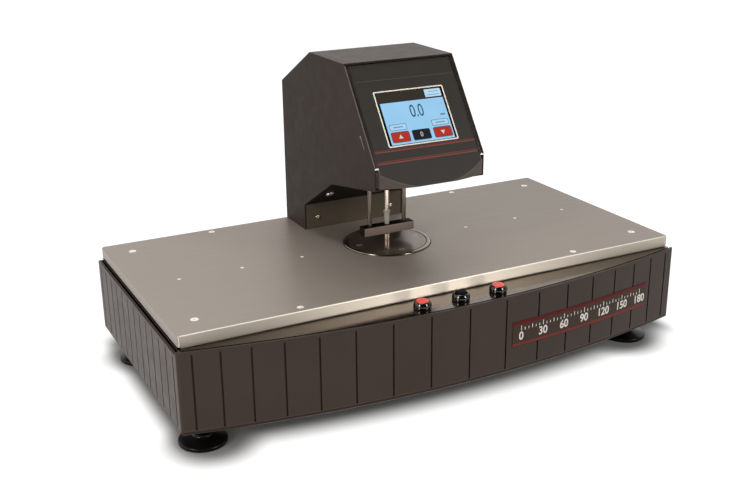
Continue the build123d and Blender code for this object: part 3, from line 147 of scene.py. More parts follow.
class Nodes:
    """A node tree and the ways to add to it."""

    def __init__(self, tree):
        self.tree = tree

    def feed(self, socket, value):
        """Give a socket a plain value, or join an output to it."""
        if isinstance(value, bpy.types.NodeSocket):
            self.tree.links.new(value, socket)
        else:
            socket.default_value = value

    def node(self, kind, feeds=None, **settings):
        """Node with its settings made and its sockets fed."""
        made = self.tree.nodes.new(kind)
        for setting, value in settings.items():
            setattr(made, setting, value)
        for socket, value in (feeds or {}).items():
            self.feed(made.inputs[socket], value)
        return made

    def number(self, operation, *values):
        """Work out a number from numbers."""
        made = self.node("ShaderNodeMath", dict(enumerate(values)), operation=operation)
        return made.outputs["Value"]

    def vector(self, operation, *values, output="Vector"):
        """Work out a vector, or its one number, from vectors."""
        made = self.node("ShaderNodeVectorMath", dict(enumerate(values)), operation=operation)
        return made.outputs[output]

    def ranged(self, value, low, high, start=0.3, end=0.7, **settings):
        """Spread start to end over low to high."""
        ends = {"From Min": start, "From Max": end, "To Min": low, "To Max": high}
        spread = self.node("ShaderNodeMapRange", {"Value": value, **ends}, **settings)
        return spread.outputs["Result"]

    def mix(self, factor, usual, other):
        """Number that goes from usual to other as factor goes from 0 to 1."""
        feeds = {"Factor": factor, "A": usual, "B": other}
        return self.node("ShaderNodeMix", feeds).outputs["Result"]


class Finish(Nodes):
    """A procedural surface finish, laid out on Object coordinates."""

    def __init__(self, name, colour, metallic=0.0, roughness=0.5, level=0.5, coat=0.0):
        self.material = bpy.data.materials.new(name)
        self.material.use_nodes = True
        super().__init__(self.material.node_tree)
        self.shader = self.tree.nodes["Principled BSDF"]
        self.place = self.node("ShaderNodeTexCoord").outputs["Object"]
        self.roughness = roughness
        self.paint = None
        self.colour = colour
        self.put("Base Color", colour)
        self.put("Metallic", metallic)
        self.put("Roughness", roughness)
        self.put("Specular IOR Level", level)
        self.put("Coat Weight", coat)
        self.put("Coat Roughness", 0.04)

    def put(self, setting, value):
        """Give a setting of the shader one value all over, or an output."""
        self.feed(self.shader.inputs[setting], value)
        return self

    def tinted(self, tint):
        """Give the gloss itself a colour."""
        return self.put("Specular Tint", tint)

    def noise(self, size, detail, stretch=(1, 1, 1)):
        """Noise whose features are about size metres across, longer where stretch is above 1."""
        scale = [1 / (size * reach) for reach in stretch]
        mapping = self.node("ShaderNodeMapping", {"Vector": self.place, "Scale": scale})
        feeds = {"Vector": mapping.outputs["Vector"], "Scale": 1.0, "Detail": detail}
        return self.node("ShaderNodeTexNoise", feeds).outputs["Fac"]

    def blend(self, factor, first, second):
        """Colour between first and second."""
        feeds = {0: factor, 6: first, 7: second}
        return self.node("ShaderNodeMix", feeds, data_type="RGBA").outputs[2]

    def mottle(self, amount, *grain):
        """Lighten and darken the colour by amount along a noise."""
        darker, lighter = dimmed(self.colour, 1 - amount), dimmed(self.colour, 1 + amount)
        self.paint = self.blend(self.ranged(self.noise(*grain), 0.0, 1.0), darker, lighter)
        self.put("Base Color", self.paint)

    def print_over(self, mask, colour):
        """Lay a printed colour over what is there, where mask is 1."""
        self.paint = self.blend(mask, self.paint or self.colour, colour)
        self.put("Base Color", self.paint)

    def print_band(self, distance, start, end, colour):
        """Print a colour where a distance lies from start to end."""
        self.print_over(self.band(distance, start, end), colour)

    def uneven(self, amount, *grain):
        """Vary the gloss along a noise."""
        low, high = self.roughness - amount, self.roughness + amount
        self.put("Roughness", self.ranged(self.noise(*grain), low, high))

    def relief(self, height, *grain):
        """Raise the surface along a noise."""
        bump = self.node("ShaderNodeBump", {"Height": self.noise(*grain), "Distance": height})
        self.put("Normal", bump.outputs["Normal"])

    def brushed_along_x(self, amount):
        """Spread highlights across a brushing that runs along X."""
        lay = self.node("ShaderNodeCombineXYZ", {"Y": 1, "Z": 1})
        self.put("Tangent", lay.outputs["Vector"]).put("Anisotropic", amount)

    def turned_about(self, x, y, amount):
        """Fine turned rings about an upright axis; returns the distance from it."""
        arm = self.vector("SUBTRACT", self.place, (x, y, 0))
        level_arm = self.vector("MULTIPLY", arm, (1, 1, 0))
        self.put("Tangent", self.vector("NORMALIZE", level_arm)).put("Anisotropic", amount)
        return self.vector("LENGTH", level_arm, output="Value")

    def along(self, direction, origin):
        """Distance along a direction from an origin, as an output."""
        reach = self.vector("DOT_PRODUCT", self.place, direction, output="Value")
        return self.number("SUBTRACT", reach, Vector(direction).dot(Vector(origin)))

    def up(self):
        """Height above the bench, as an output."""
        return self.along((0, 0, 1), (0, 0, 0))

    def band(self, distance, start, end):
        """1 where a distance lies from start to end, and 0 elsewhere."""
        return self.number("COMPARE", distance, (start + end) / 2, (end - start) / 2)

    def differ(self, setting, mask, value):
        """Give a setting another value where mask is 1."""
        socket = self.shader.inputs[setting]
        usual = socket.links[0].from_socket if socket.is_linked else socket.default_value
        self.feed(socket, self.mix(mask, usual, value))


def painted(name, colour, roughness, level=0.5, speckle=0.0006, height=0.00002):
    """Stoved or powder paint: a fine orange peel under a faint mottle."""
    paint = Finish(name, colour, roughness=roughness, level=level)
    paint.mottle(0.06, 0.05, 5.0)
    paint.uneven(0.04, 0.012, 4.0)
    paint.relief(height, speckle, 2.0)
    return paint


def moulded(name, colour, roughness, coat=0.0, level=0.5):
    """Moulded plastic with a slight waviness."""
    plastic = Finish(name, colour, roughness=roughness, level=level, coat=coat)
    plastic.mottle(0.08, 0.008, 3.0)
    plastic.uneven(0.3 * roughness, 0.004, 3.0)
    plastic.relief(0.000006, 0.0008, 2.0)
    return plastic


def glossy(name, colour, roughness, level=0.5):
    """Smooth hard plastic or lacquer."""
    gloss = Finish(name, colour, roughness=roughness, level=level)
    gloss.mottle(0.08, 0.01, 3.0)
    return gloss


def brushed(name, colour, roughness, streaks=0.05, spread=0.65):
    """Metal ground or brushed along X, with long fine streaks."""
    metal = Finish(name, colour, metallic=1.0, roughness=roughness)
    metal.mottle(streaks, 0.0008, 4.0, (120, 1, 1))
    metal.uneven(0.05, 0.0009, 3.0, (90, 1, 1))
    metal.relief(0.000003, 0.0005, 2.0, (90, 1, 1))
    metal.brushed_along_x(spread)
    return metal


def plated(name, colour, roughness):
    """Plain metal with soft handling marks."""
    metal = Finish(name, colour, metallic=1.0, roughness=roughness)
    metal.mottle(0.06, 0.01, 4.0)
    metal.uneven(0.25 * roughness, 0.003, 4.0)
    metal.relief(0.000003, 0.0012, 2.0)
    return metal


def ground_round(name, colour, roughness):
    """Metal ground round an upright axis."""
    metal = Finish(name, colour, metallic=1.0, roughness=roughness)
    metal.mottle(0.03, 0.004, 2.0, (1, 1, 12))
    return metal


def glowing(name, colour, strength=1.0):
    """Part of the lit picture, under the gloss of the cover glass."""
    light = Finish(name, shade(10, 10, 10), roughness=0.35, level=0.1, coat=0.25)
    shades = light.ranged(light.noise(0.02, 3.0), 0.0, 1.0)
    light.put("Emission Color", light.blend(shades, dimmed(colour, 0.94), colour))
    return light.put("Emission Strength", strength)


# Finishes, by the record's slots
WARM = (1.0, 0.78, 0.68, 1.0)
PALE_WARM = (1.0, 0.95, 0.92, 1.0)
FILM_DARK = shade(47, 44, 40)
FILM_EDGE_HIGHLIGHT = (0.0218, 0.0224)
FILM_STRIPES = ((0.1010, 0.1014), (0.1022, 0.1036), (0.1134, 0.1140), (0.1150, 0.1164))
ANVIL_RINGS = ((0.0396, 0.0399), (0.0425, 0.0428), (0.0454, 0.0467))
PEDESTAL_FRONT = (0.130, 0.1656)
ROOF = (0.3525, 0.3535)
RIB_PITCH = 0.0022

film = painted("film_print", FILM_DARK, 0.42, level=0.3, height=0.000004)
down_film = film.along(DOWN_SLOPE, SLOPE_TOP)
# Painted highlight: a paler line printed along the film's top edge, where the edge catches light
film.print_band(down_film, *FILM_EDGE_HIGHLIGHT, shade(84, 80, 74))
for start, end in FILM_STRIPES:
    film.print_band(down_film, start, end, shade(126, 58, 52))

badge = painted("badge_print", shade(65, 53, 46), 0.40, level=0.12, height=0.000004).tinted(WARM)
up_badge = badge.up()
badge.print_band(up_badge, 0.0616, 0.0644, shade(124, 50, 46))
badge.print_band(up_badge, 0.0860, 0.0894, shade(98, 20, 24))

anvil_rings = Finish("anvil_turned", shade(118, 104, 94), metallic=0.8, roughness=0.25)
anvil_reach = anvil_rings.turned_about(0, AXIS_Y, 0.6)
anvil_rings.mottle(0.04, 0.02, 3.0)
# Dark rings printed on the turned face; the outermost lies over the anvil's groove and is painted
# shade there
for start, end in ANVIL_RINGS:
    anvil_rings.print_band(anvil_reach, start, end, shade(40, 33, 29))
anvil_rings.uneven(0.02, 0.004, 3.0)

# The fascia is coloured paler than its film so the chin reads as lit (painted light); the strip
# above the film is painted in the film's dark (painted shade)
fascia_paint = painted("fascia_satin", shade(84, 75, 68), 0.48, level=0.25)
fascia_paint.print_band(fascia_paint.along(DOWN_SLOPE, SLOPE_TOP), -0.002, 0.0219, FILM_DARK)

plate_ground = brushed("plate_ground", shade(159, 149, 139), 0.45, streaks=0.03, spread=0.7)
plate_ground.put("Metallic", 0.46)
# The front face is printed paler than the top, a painted highlight for the front lamp's reflection,
# and is also more metallic, rougher and more anisotropic; the top front arris is printed near white
# as a painted highlight
plate_face = plate_ground.band(plate_ground.along((0, 1, 0), PLATE_LOW), -0.0002, 0.0008)
plate_slant = plate_ground.along((0, 1, -1), (0, PLATE_LOW.y, PLATE_TOP))
plate_arris_highlight = plate_ground.band(plate_slant, -0.0002, 0.0009)
plate_ground.print_over(plate_face, shade(204, 195, 182))
plate_ground.print_over(plate_arris_highlight, shade(250, 242, 230))
plate_ground.differ("Metallic", plate_face, 1.0)
plate_ground.differ("Metallic", plate_arris_highlight, 0.4)
plate_ground.differ("Roughness", plate_face, 0.5)
plate_ground.differ("Anisotropic", plate_face, 0.88)

deck_brushed = brushed("deck_brushed", shade(120, 114, 107), 0.14, streaks=0.04, spread=0.5)
deck_brushed.tinted(PALE_WARM)

skirt_satin = painted("skirt_satin", shade(67, 58, 53), 0.40, level=0.14, speckle=0.0009)
skirt_satin.tinted(WARM)
# Painted highlight and shade along the skirt's bottom edge: pale lines stand for the white floor
# reflected in the bottom chamfer, with a darker painted line between them
up_skirt = skirt_satin.up()
for start, end, edge_light_and_shade in (
    (0.0324, 0.0336, shade(86, 74, 66)),
    (0.0336, 0.0364, shade(50, 41, 36)),
    (0.0364, 0.0374, shade(80, 68, 60)),
):
    skirt_satin.print_band(up_skirt, start, end, edge_light_and_shade)

hood_powder = painted("hood_powder", shade(50, 43, 39), 0.55, level=0.10, height=0.00004)
hood_powder.tinted(WARM)
hood_powder.differ("Specular IOR Level", hood_powder.band(hood_powder.up(), *ROOF), 0.7)

# The throat panel is painted near black as painted shade under the head, except the pedestal's
# front, which is printed in its paint colour
throat_shaded_satin = painted("throat_shaded_satin", shade(16, 14, 12), 0.5, level=0.2)
throat_shaded_satin.print_band(throat_shaded_satin.up(), *PEDESTAL_FRONT, shade(82, 73, 61))

sleeve_grey = moulded("sleeve_grey", shade(176, 171, 162), 0.4)
# Dark rings at the rib pitch are painted shade, standing in for the relief of the ribs
rib_share = sleeve_grey.number("FRACT", sleeve_grey.number("DIVIDE", sleeve_grey.up(), RIB_PITCH))
sleeve_grey.print_band(rib_share, 0.0, 0.3, shade(120, 116, 110))

# The crossbar is painted near black with its front face printed pale: painted light for the front
# lamp's reflection on the face and painted shade for the dark underside reflected in the top and
# ends; the front face is also given more gloss
bar_anodised = painted("bar_anodised", shade(20, 16, 14), 0.42, speckle=0.0004, height=0.000004)
bar_front = bar_anodised.band(bar_anodised.along((0, 1, 0), BAR_LOW), -0.0002, 0.0003)
bar_anodised.print_over(bar_front, shade(112, 96, 84))
bar_anodised.put("Specular IOR Level", 0.05)
bar_anodised.differ("Specular IOR Level", bar_front, 0.6)

FINISHES = {
    "skirt_paint": skirt_satin,
    "rear_paint": painted("rear_satin", shade(52, 44, 40), 0.42, level=0.2).tinted(WARM),
    "hood_paint": hood_powder,
    "fascia_paint": fascia_paint,
    "fascia_print": film,
    "frame_cream": moulded("frame_cream", shade(244, 234, 216), 0.42),
    "screen_glass": moulded("glass_black", shade(12, 13, 14), 0.12, coat=0.3, level=0.2),
    "plate_brushed": plate_ground,
    "deck_brushed": deck_brushed,
    # The sheet under the plate is coloured grey-brown rather than black, painted light that thins
    # the shadow line it sits in
    "black_sheet": moulded("gasket_lightened", shade(74, 66, 59), 0.7),
    "mirror_steel": ground_round("lapped_steel", shade(232, 221, 204), 0.16),
    "screw_steel": plated("screw_bright", shade(224, 218, 210), 0.2),
    "screw_black": plated("screw_black", shade(40, 40, 42), 0.4),
    "zinc_sheet": plated("zinc_plate", shade(170, 170, 166), 0.42),
    "casting_alloy": plated("casting_alloy", shade(140, 140, 138), 0.55),
    "bar_bronze": bar_anodised,
    "rod_dark": ground_round("rod_dark", shade(118, 110, 101), 0.2),
    "sleeve_grey": sleeve_grey,
    "foot_black": glossy("foot_black", shade(9, 8, 7), 0.28, level=0.22),
    "stud_black": plated("stud_black", shade(30, 28, 28), 0.35),
    "button_black": glossy("button_black", shade(5, 4, 4), 0.07, level=0.8),
    "button_red": moulded("button_red", shade(248, 98, 80), 0.36, level=0.2),
    "badge_dark": badge,
    "moulded_black": moulded("moulded_black", shade(30, 30, 31), 0.5),
    "brass_contact": plated("brass_contact", shade(196, 160, 84), 0.25),
    "connector_nickel": plated("connector_nickel", shade(190, 188, 182), 0.26),
    "board_green": moulded("board_green", shade(30, 96, 52), 0.45),
}
OWN_FINISHES = {
    "anvil": anvil_rings,
    "probe_body": ground_round("probe_nickel", shade(240, 230, 214), 0.12),
    "throat_panel": throat_shaded_satin,
}
for name, node in nodes.items():
    for socket in node.material_slots:
        finish = OWN_FINISHES.get(name) or FINISHES[socket.material.name]
        socket.material = finish.material
badge_white = moulded("badge_white", shade(236, 230, 224), 0.5, level=0.3)


# Making pieces: edges sharper than CREASE are shaded sharp, and those sharper than CORNER may
# be rounded
CREASE = math.radians(32)
CORNER = math.radians(45)


def add_piece(name, bm, body, slot, replaced=(), finish=None):
    """Close a bmesh into a piece that rides on a body, in its slot's finish or in another."""
    bmesh.ops.remove_doubles(bm, verts=bm.verts, dist=1e-7)
    bmesh.ops.recalc_face_normals(bm, faces=bm.faces)
    for face in bm.faces:
        face.smooth = True
    for edge in bm.edges:
        edge.smooth = edge.calc_face_angle(math.pi) < CREASE
    mesh = bpy.data.meshes.new(name)
    bm.to_mesh(mesh)
    bm.free()
    mesh.materials.append((finish or FINISHES[slot]).material)
    piece = bpy.data.objects.new(name, mesh)
    bpy.context.scene.collection.objects.link(piece)
    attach(piece, body)
    if replaced:
        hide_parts(*replaced)


def soften(bm, width, segments=3):
    """Round every edge that is sharper than CORNER."""
    sharp = [edge for edge in bm.edges if edge.calc_face_angle(0) > CORNER]
    bmesh.ops.bevel(
        bm,
        geom=sharp,
        offset=width,
        offset_type="OFFSET",
        segments=segments,
        profile=0.5,
        affect="EDGES",
        material=-1,
        clamp_overlap=True,
    )
    return bm


def arc(radius, height, reach, start, end, steps):
    """Corners of a round stretch about (radius, height), from start to end in degrees."""
    turns = [math.radians(start + (end - start) * step / steps) for step in range(steps + 1)]
    return [(radius + reach * math.cos(turn), height + reach * math.sin(turn)) for turn in turns]


def lathe(outline, steps=96, ring=False):
    """Turned solid about Z from (radius, height) corners, from axis to axis or as a closed ring."""
    bm = bmesh.new()
    corners = [bm.verts.new((radius, 0, height)) for radius, height in outline]
    for start, end in zip(corners, corners[1:]):
        bm.edges.new((start, end))
    if ring:
        bm.edges.new((corners[-1], corners[0]))
    bmesh.ops.spin(
        bm,
        geom=bm.verts[:] + bm.edges[:],
        cent=(0, 0, 0),
        axis=(0, 0, 1),
        angle=2 * math.pi,
        steps=steps,
        use_merge=True,
    )
    bmesh.ops.remove_doubles(bm, verts=bm.verts, dist=1e-6)
    bmesh.ops.recalc_face_normals(bm, faces=bm.faces)
    return bm


def flat_ring(inner, outer, low, high, steps):
    """Washer about Z."""
    return lathe([(inner, low), (outer, low), (outer, high), (inner, high)], steps, ring=True)


def placed(bm, place):
    """The shape moved to its place, a matrix."""
    bmesh.ops.transform(bm, matrix=place, verts=bm.verts)
    return bm


def assemble(shapes):
    """One bmesh from several shapes, each given with its place."""
    whole = bmesh.new()
    carrier = bpy.data.meshes.new("carrier")
    for shape, place in shapes:
        placed(shape, place).to_mesh(carrier)
        whole.from_mesh(carrier)
        shape.free()
    bpy.data.meshes.remove(carrier)
    return whole


def repeat(bm, places):
    """The same shape at each place, a matrix."""
    copies = [bm] + [bm.copy() for _ in places[1:]]
    return assemble(zip(copies, places))


def upright(x, y, z=0.0, turn=0.0):
    """Place that stands upright at a point, turned about Z."""
    return Matrix.Translation((x, y, z)) @ Matrix.Rotation(turn, 4, "Z")


def facing(origin, outward, turn=0.0):
    """Place whose local Z looks outward from origin; a quarter turn lays its local X level."""
    swing = Vector(outward).to_track_quat("Z", "X").to_matrix().to_4x4()
    return Matrix.Translation(origin) @ swing @ Matrix.Rotation(turn, 4, "Z")


def both_sides(x, y, z, outward, turn=0.0, middle=0.0):
    """Two places that look outward, x to the left and to the right of the middle."""
    return [facing((middle + side * x, y, z), outward, turn) for side in SIDES]


def socket_screw(outline, socket, depth):
    """Turned screw with a hexagon socket sunk into the flat that ends its outline."""
    bm = lathe(outline, steps=48)
    for drop in (0.0, -depth):
        edge_ring = [edge for edge in bm.edges if edge.is_boundary]
        grown = bmesh.ops.extrude_edge_only(bm, edges=edge_ring)["geom"]
        for vert in (item for item in grown if isinstance(item, bmesh.types.BMVert)):
            turn = math.atan2(vert.co.y, vert.co.x) % (math.pi / 3) - math.pi / 6
            reach = socket * math.cos(math.pi / 6) / math.cos(turn)
            vert.co.xy = vert.co.xy.normalized() * reach
            vert.co.z += drop
    bmesh.ops.holes_fill(bm, edges=[edge for edge in bm.edges if edge.is_boundary], sides=0)
    return bm


def flat_head(head, shank, length, socket):
    """Countersunk screw with its flat top at Z = 0."""
    taper = head - shank
    outline = [
        (0, -length),
        (shank, -length),
        (shank, -taper),
        (head - 0.0001, -0.0001),
        (head - 0.0002, 0),
        (1.12 * socket, 0),
        (1.02 * socket, -0.0001),
    ]
    return socket_screw(outline, socket, 0.7 * taper)


def pan_head(head, height, shank, length, socket):
    """Button-head screw seated on Z = 0."""
    dome = [
        (head * (0.5 + 0.5 * math.cos(turn)), height * (0.3 + 0.7 * math.sin(turn)))
        for turn in (step * math.pi / 14 for step in range(6))
    ]
    outline = [(0, -length), (shank, -length), (shank, 0), (head, 0), *dome, (1.1 * socket, height)]
    return socket_screw(outline, socket, 0.55 * height)


def slab(width, height, thick, corner=0.0):
    """Flat rounded plate centred on the origin, its back on Z = 0."""
    bm = bmesh.new()
    bmesh.ops.create_grid(bm, x_segments=1, y_segments=1, size=0.5)
    bmesh.ops.scale(bm, vec=(width, height, 1), verts=bm.verts)
    if corner:
        bmesh.ops.bevel(
            bm,
            geom=bm.verts[:],
            offset=corner,
            offset_type="OFFSET",
            segments=5,
            profile=0.5,
            affect="VERTICES",
            material=-1,
        )
    front = bmesh.ops.extrude_face_region(bm, geom=bm.faces[:])["geom"]
    verts = [item for item in front if isinstance(item, bmesh.types.BMVert)]
    bmesh.ops.translate(bm, vec=(0, 0, thick), verts=verts)
    bmesh.ops.recalc_face_normals(bm, faces=bm.faces)
    return bm


def disc(radius, thick, sides=32):
    """Flat round or many-sided plate centred on the origin, its back on Z = 0."""
    bm = bmesh.new()
    bmesh.ops.create_cone(
        bm,
        cap_ends=True,
        cap_tris=False,
        segments=sides,
        radius1=radius,
        radius2=radius,
        depth=thick,
    )
    bmesh.ops.translate(bm, vec=(0, 0, thick / 2), verts=bm.verts)
    return bm


def lettering(text, size, squeeze=1.0, weight=0.0):
    """Figures one layer thick, centred on the origin, their back on Z = 0.

    squeeze narrows them, and weight makes them bolder.
    """
    curve = bpy.data.curves.new("figures", "FONT")
    curve.body = text
    curve.size = size
    curve.align_x = curve.align_y = "CENTER"
    curve.extrude = LAYER / 2
    curve.offset = weight
    curve.resolution_u = 6
    holder = bpy.data.objects.new("figures", curve)
    bpy.context.scene.collection.objects.link(holder)
    depsgraph = bpy.context.evaluated_depsgraph_get()
    mesh = bpy.data.meshes.new_from_object(holder.evaluated_get(depsgraph))
    bpy.data.objects.remove(holder)
    bm = bmesh.new()
    bm.from_mesh(mesh)
    bpy.data.meshes.remove(mesh)
    bmesh.ops.remove_doubles(bm, verts=bm.verts, dist=1e-7)
    bmesh.ops.translate(bm, vec=(0, 0, LAYER / 2), verts=bm.verts)
    bmesh.ops.scale(bm, vec=(squeeze, 1, 1), verts=bm.verts)
    return bm


def stood(origin, across, up, outward):
    """Place at origin whose local X, Y and Z run along the three directions."""
    place = Matrix((across, up, outward)).transposed().to_4x4()
    place.translation = origin
    return place


def on_slope(u, v, depth):
    """Place on the fascia's slope: local X across, local Y up the slope, local Z out of it."""
    origin = SLOPE_TOP + DOWN_SLOPE * v - OUT_OF_SLOPE * depth + Vector((u, 0, 0))
    return stood(origin, -LEFTWARD, -DOWN_SLOPE, OUT_OF_SLOPE)


def bow_y(x, lift=0.0):
    """Y of the bowed front at X, lifted off it by lift."""
    return BOW_APEX + BOW_RADIUS - math.sqrt((BOW_RADIUS + lift) ** 2 - x**2)


def both_ways(span):
    """The four corners of a span in X and Y about the axis of measurement."""
    x, y = span
    return [(side * x / 2, AXIS_Y + end * y / 2) for end in SIDES for side in SIDES]


# Sunk screws of the plate and the anvil, each socket turned its own way. A screw's sizes are
# its head radius, shank radius, length and socket radius.
CORNER_SCREW = (0.00435, 0.002, 0.030, 0.0015)
EDGE_SCREW = (0.0038, 0.002, 0.017, 0.0014)
CENTRE_SCREW = (0.0022, 0.00125, 0.015, 0.0009)
ANVIL_SCREW = (0.0037, 0.002, 0.012, 0.0014)
SOCKET_TURN = 0.7
centre_points = [(side * x, AXIS_Y) for x in CENTRE_SCREW_X for side in SIDES]
anvil_points = [
    (ANVIL_SCREW_CIRCLE * math.cos(turn), AXIS_Y + ANVIL_SCREW_CIRCLE * math.sin(turn))
    for turn in (step * math.pi / 2 for step in range(4))
]
plate_screw = plated("plate_screw", shade(250, 245, 238), 0.5).put("Metallic", 0.5)
anvil_screw = plated("anvil_screw", shade(170, 158, 147), 0.34).put("Metallic", 0.8)
for name, sizes, points, top, finish in (
    ("plate_corner_screws", CORNER_SCREW, both_ways(CORNER_SCREW_SPAN), PLATE_TOP, plate_screw),
    ("plate_edge_screws", EDGE_SCREW, both_ways(EDGE_SCREW_SPAN), PLATE_TOP, plate_screw),
    ("plate_centre_screws", CENTRE_SCREW, centre_points, PLATE_TOP, plate_screw),
    ("anvil_screws", ANVIL_SCREW, anvil_points, ANVIL_TOP, anvil_screw),
):
    places = [upright(x, y, top, SOCKET_TURN * index) for index, (x, y) in enumerate(points)]
    screws = repeat(flat_head(*sizes), places)
    add_piece(f"{name}_turned", screws, "base", "screw_steel", (name,), finish)

# Polished rim laid round the anvil's bevel, and a dark ring on the plate round the anvil, a painted
# shadow of the gap between the anvil and the plate
RIM_WIDTH = 0.0032
RIM_THICK = 0.0001
RIM_BEND = 0.0013
SHADOW_RING_WIDTH = 0.0008
on_axis = upright(0, AXIS_Y)
rim_bend_x = ANVIL_RADIUS + CLEARANCE - RIM_BEND
rim_steel = Finish("rim_steel", shade(138, 126, 115), metallic=1.0, roughness=0.18)
rim_steel.mottle(0.04, 0.02, 2.0)
rim = lathe(
    [
        (ANVIL_RADIUS - RIM_WIDTH, ANVIL_TOP),
        (ANVIL_RADIUS - RIM_WIDTH, ANVIL_TOP + RIM_THICK),
        *arc(rim_bend_x, ANVIL_TOP + RIM_THICK - RIM_BEND, RIM_BEND, 90, 0, 10),
        (ANVIL_RADIUS, PLATE_TOP + 0.0002),
        (ANVIL_RADIUS - RIM_BEND, ANVIL_TOP),
    ],
    steps=128,
    ring=True,
)
add_piece("anvil_rim", placed(rim, on_axis), "base", "mirror_steel", finish=rim_steel)
# Painted shadow: a flat dark ring on the plate round the anvil
shadow_ring_start = ANVIL_RADIUS + CLEARANCE
shadow_ring = flat_ring(shadow_ring_start, shadow_ring_start + SHADOW_RING_WIDTH, PLATE_TOP, PLATE_TOP + LAYER, 128)
shadow_ring_dark = glossy("shadow_ring_dark", shade(26, 21, 18), 0.6, level=0.2)
add_piece("anvil_shadow_ring", placed(shadow_ring, on_axis), "base", "plate_brushed", finish=shadow_ring_dark)

# Button-head screws of the throat panel, the hood and the mains inlet. A screw's sizes are its
# head radius, head height, shank radius, length and socket radius.
UNDERSIDE_SCREW = (0.00485, 0.0026, 0.0025, 0.012, 0.0019)
PEDESTAL_SCREW_SIZES = (0.0026, 0.0015, 0.0015, 0.009, 0.0011)
HOOD_SCREW = (0.003, 0.0016, 0.0015, 0.009, 0.0012)
INLET_SCREW = (0.0026, 0.0012, 0.0015, 0.009, 0.0010)
PEDESTAL_SOCKET_TURN = 0.4
INLET_SOCKET_TURN = 0.3
facet_run = PEDESTAL_TOP[0] - THROAT_VERTEX[0]
facet_fall = PEDESTAL_TOP[1] - THROAT_VERTEX[1]
facet_out = (0, facet_fall, -facet_run)
facet_screw_z = THROAT_VERTEX[1] + (FACET_SCREW[1] - THROAT_VERTEX[0]) * facet_fall / facet_run
pedestal_seat = (PEDESTAL_SCREW[0], PEDESTAL_TOP[0], PEDESTAL_SCREW[1])
inlet_seat = (INLET_SCREW_SPAN / 2, INLET_SCREW_SEAT, PORT_Z)
underside_places = both_sides(*FACET_SCREW, facet_screw_z, facet_out)
pedestal_places = both_sides(*pedestal_seat, FORWARD, PEDESTAL_SOCKET_TURN)
hood_places = [
    facing((side * HOOD_SCREW_X, HEAD_BACK, z), BACKWARD, z) for z in HOOD_SCREW_Z for side in SIDES
]
inlet_places = both_sides(*inlet_seat, BACKWARD, INLET_SOCKET_TURN, INLET_X)
for name, places, sizes, slot in (
    ("underside_screws", underside_places, UNDERSIDE_SCREW, "screw_steel"),
    ("pedestal_screws", pedestal_places, PEDESTAL_SCREW_SIZES, "screw_steel"),
    ("hood_screws", hood_places, HOOD_SCREW, "screw_black"),
    ("inlet_screws", inlet_places, INLET_SCREW, "screw_steel"),
):
    screws = repeat(pan_head(*sizes), places)
    add_piece(f"{name}_turned", screws, "base", slot, (name,))

# Measuring foot: rods, crossbar and spindle
ROD_EDGE = 0.0005
SPINDLE_EDGE = 0.0004
GROOVE_DEPTH = 0.0004
BAR_CORNER = 0.001
BAR_EDGE = 0.00045
rod = lathe(
    [
        (0, ROD_LOW.z),
        (ROD_RADIUS, ROD_LOW.z),
        (ROD_RADIUS, ROD_HIGH.z - ROD_EDGE),
        (ROD_RADIUS - ROD_EDGE, ROD_HIGH.z),
        (0, ROD_HIGH.z),
    ],
    steps=64,
)
rods = repeat(rod, [upright(side * ROD_X, AXIS_Y) for side in SIDES])
add_piece("rods_ground", rods, "measuring_foot", "rod_dark", ("guide_rods",))

bar = placed(slab(*(BAR_HIGH - BAR_LOW), BAR_CORNER), upright(0, AXIS_Y, BAR_LOW.z))
soften(bar, BAR_EDGE)
add_piece("crossbar_milled", bar, "measuring_foot", "bar_bronze", ("crossbar",))

spindle_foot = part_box("measuring_spindle")[0].z
spindle = lathe(
    [
        (0, spindle_foot),
        (SPINDLE_RADIUS - 0.0006, spindle_foot),
        *arc(SPINDLE_RADIUS - SPINDLE_EDGE, spindle_foot + SPINDLE_EDGE, SPINDLE_EDGE, -60, 0, 4),
        (SPINDLE_RADIUS, BAR_LOW.z - 0.0022),
        (SPINDLE_RADIUS - GROOVE_DEPTH, BAR_LOW.z - 0.0018),
        (SPINDLE_RADIUS - GROOVE_DEPTH, BAR_LOW.z - 0.0010),
        (SPINDLE_RADIUS, BAR_LOW.z - 0.0006),
        (SPINDLE_RADIUS, SPINDLE_TOP),
        (0, SPINDLE_TOP),
    ],
    steps=64,
)
placed(spindle, on_axis)
add_piece("spindle_lapped", spindle, "measuring_foot", "mirror_steel", ("measuring_spindle",))

# Push buttons: domed bezels, and caps that sink into them
DOME_OFF_AXIS = 0.0022
DOME_LIFT = 0.0023
DOME_REACH = 0.0074
BEZEL_LIP = 0.0005
CAP_GAP = 0.0001
CAP_EDGE = 0.0006
CAP_THICK = 0.0029
dome_start = -math.degrees(math.asin(DOME_LIFT / DOME_REACH))
bezel = lathe(
    [
        (STEM_RADIUS + CLEARANCE, BARREL_FOOT),
        (BARREL_RADIUS, BARREL_FOOT),
        (BARREL_RADIUS, SHELF_TOP),
        *arc(DOME_OFF_AXIS, SHELF_TOP + DOME_LIFT, DOME_REACH, dome_start, 38, 16),
        *arc(CAP_RADIUS + CAP_GAP + BEZEL_LIP, BEZEL_TOP - BEZEL_LIP, BEZEL_LIP, 60, 180, 6),
        (CAP_RADIUS + CAP_GAP, WELL_FLOOR),
        (STEM_RADIUS + CLEARANCE, WELL_FLOOR),
    ],
    ring=True,
)
button_places = [upright(step * BUTTON_PITCH, BUTTON_Y) for step in (-1, 0, 1)]
bezels = repeat(bezel, button_places)
add_piece("bezels_moulded", bezels, "base", "button_black", ("button_bezels",))

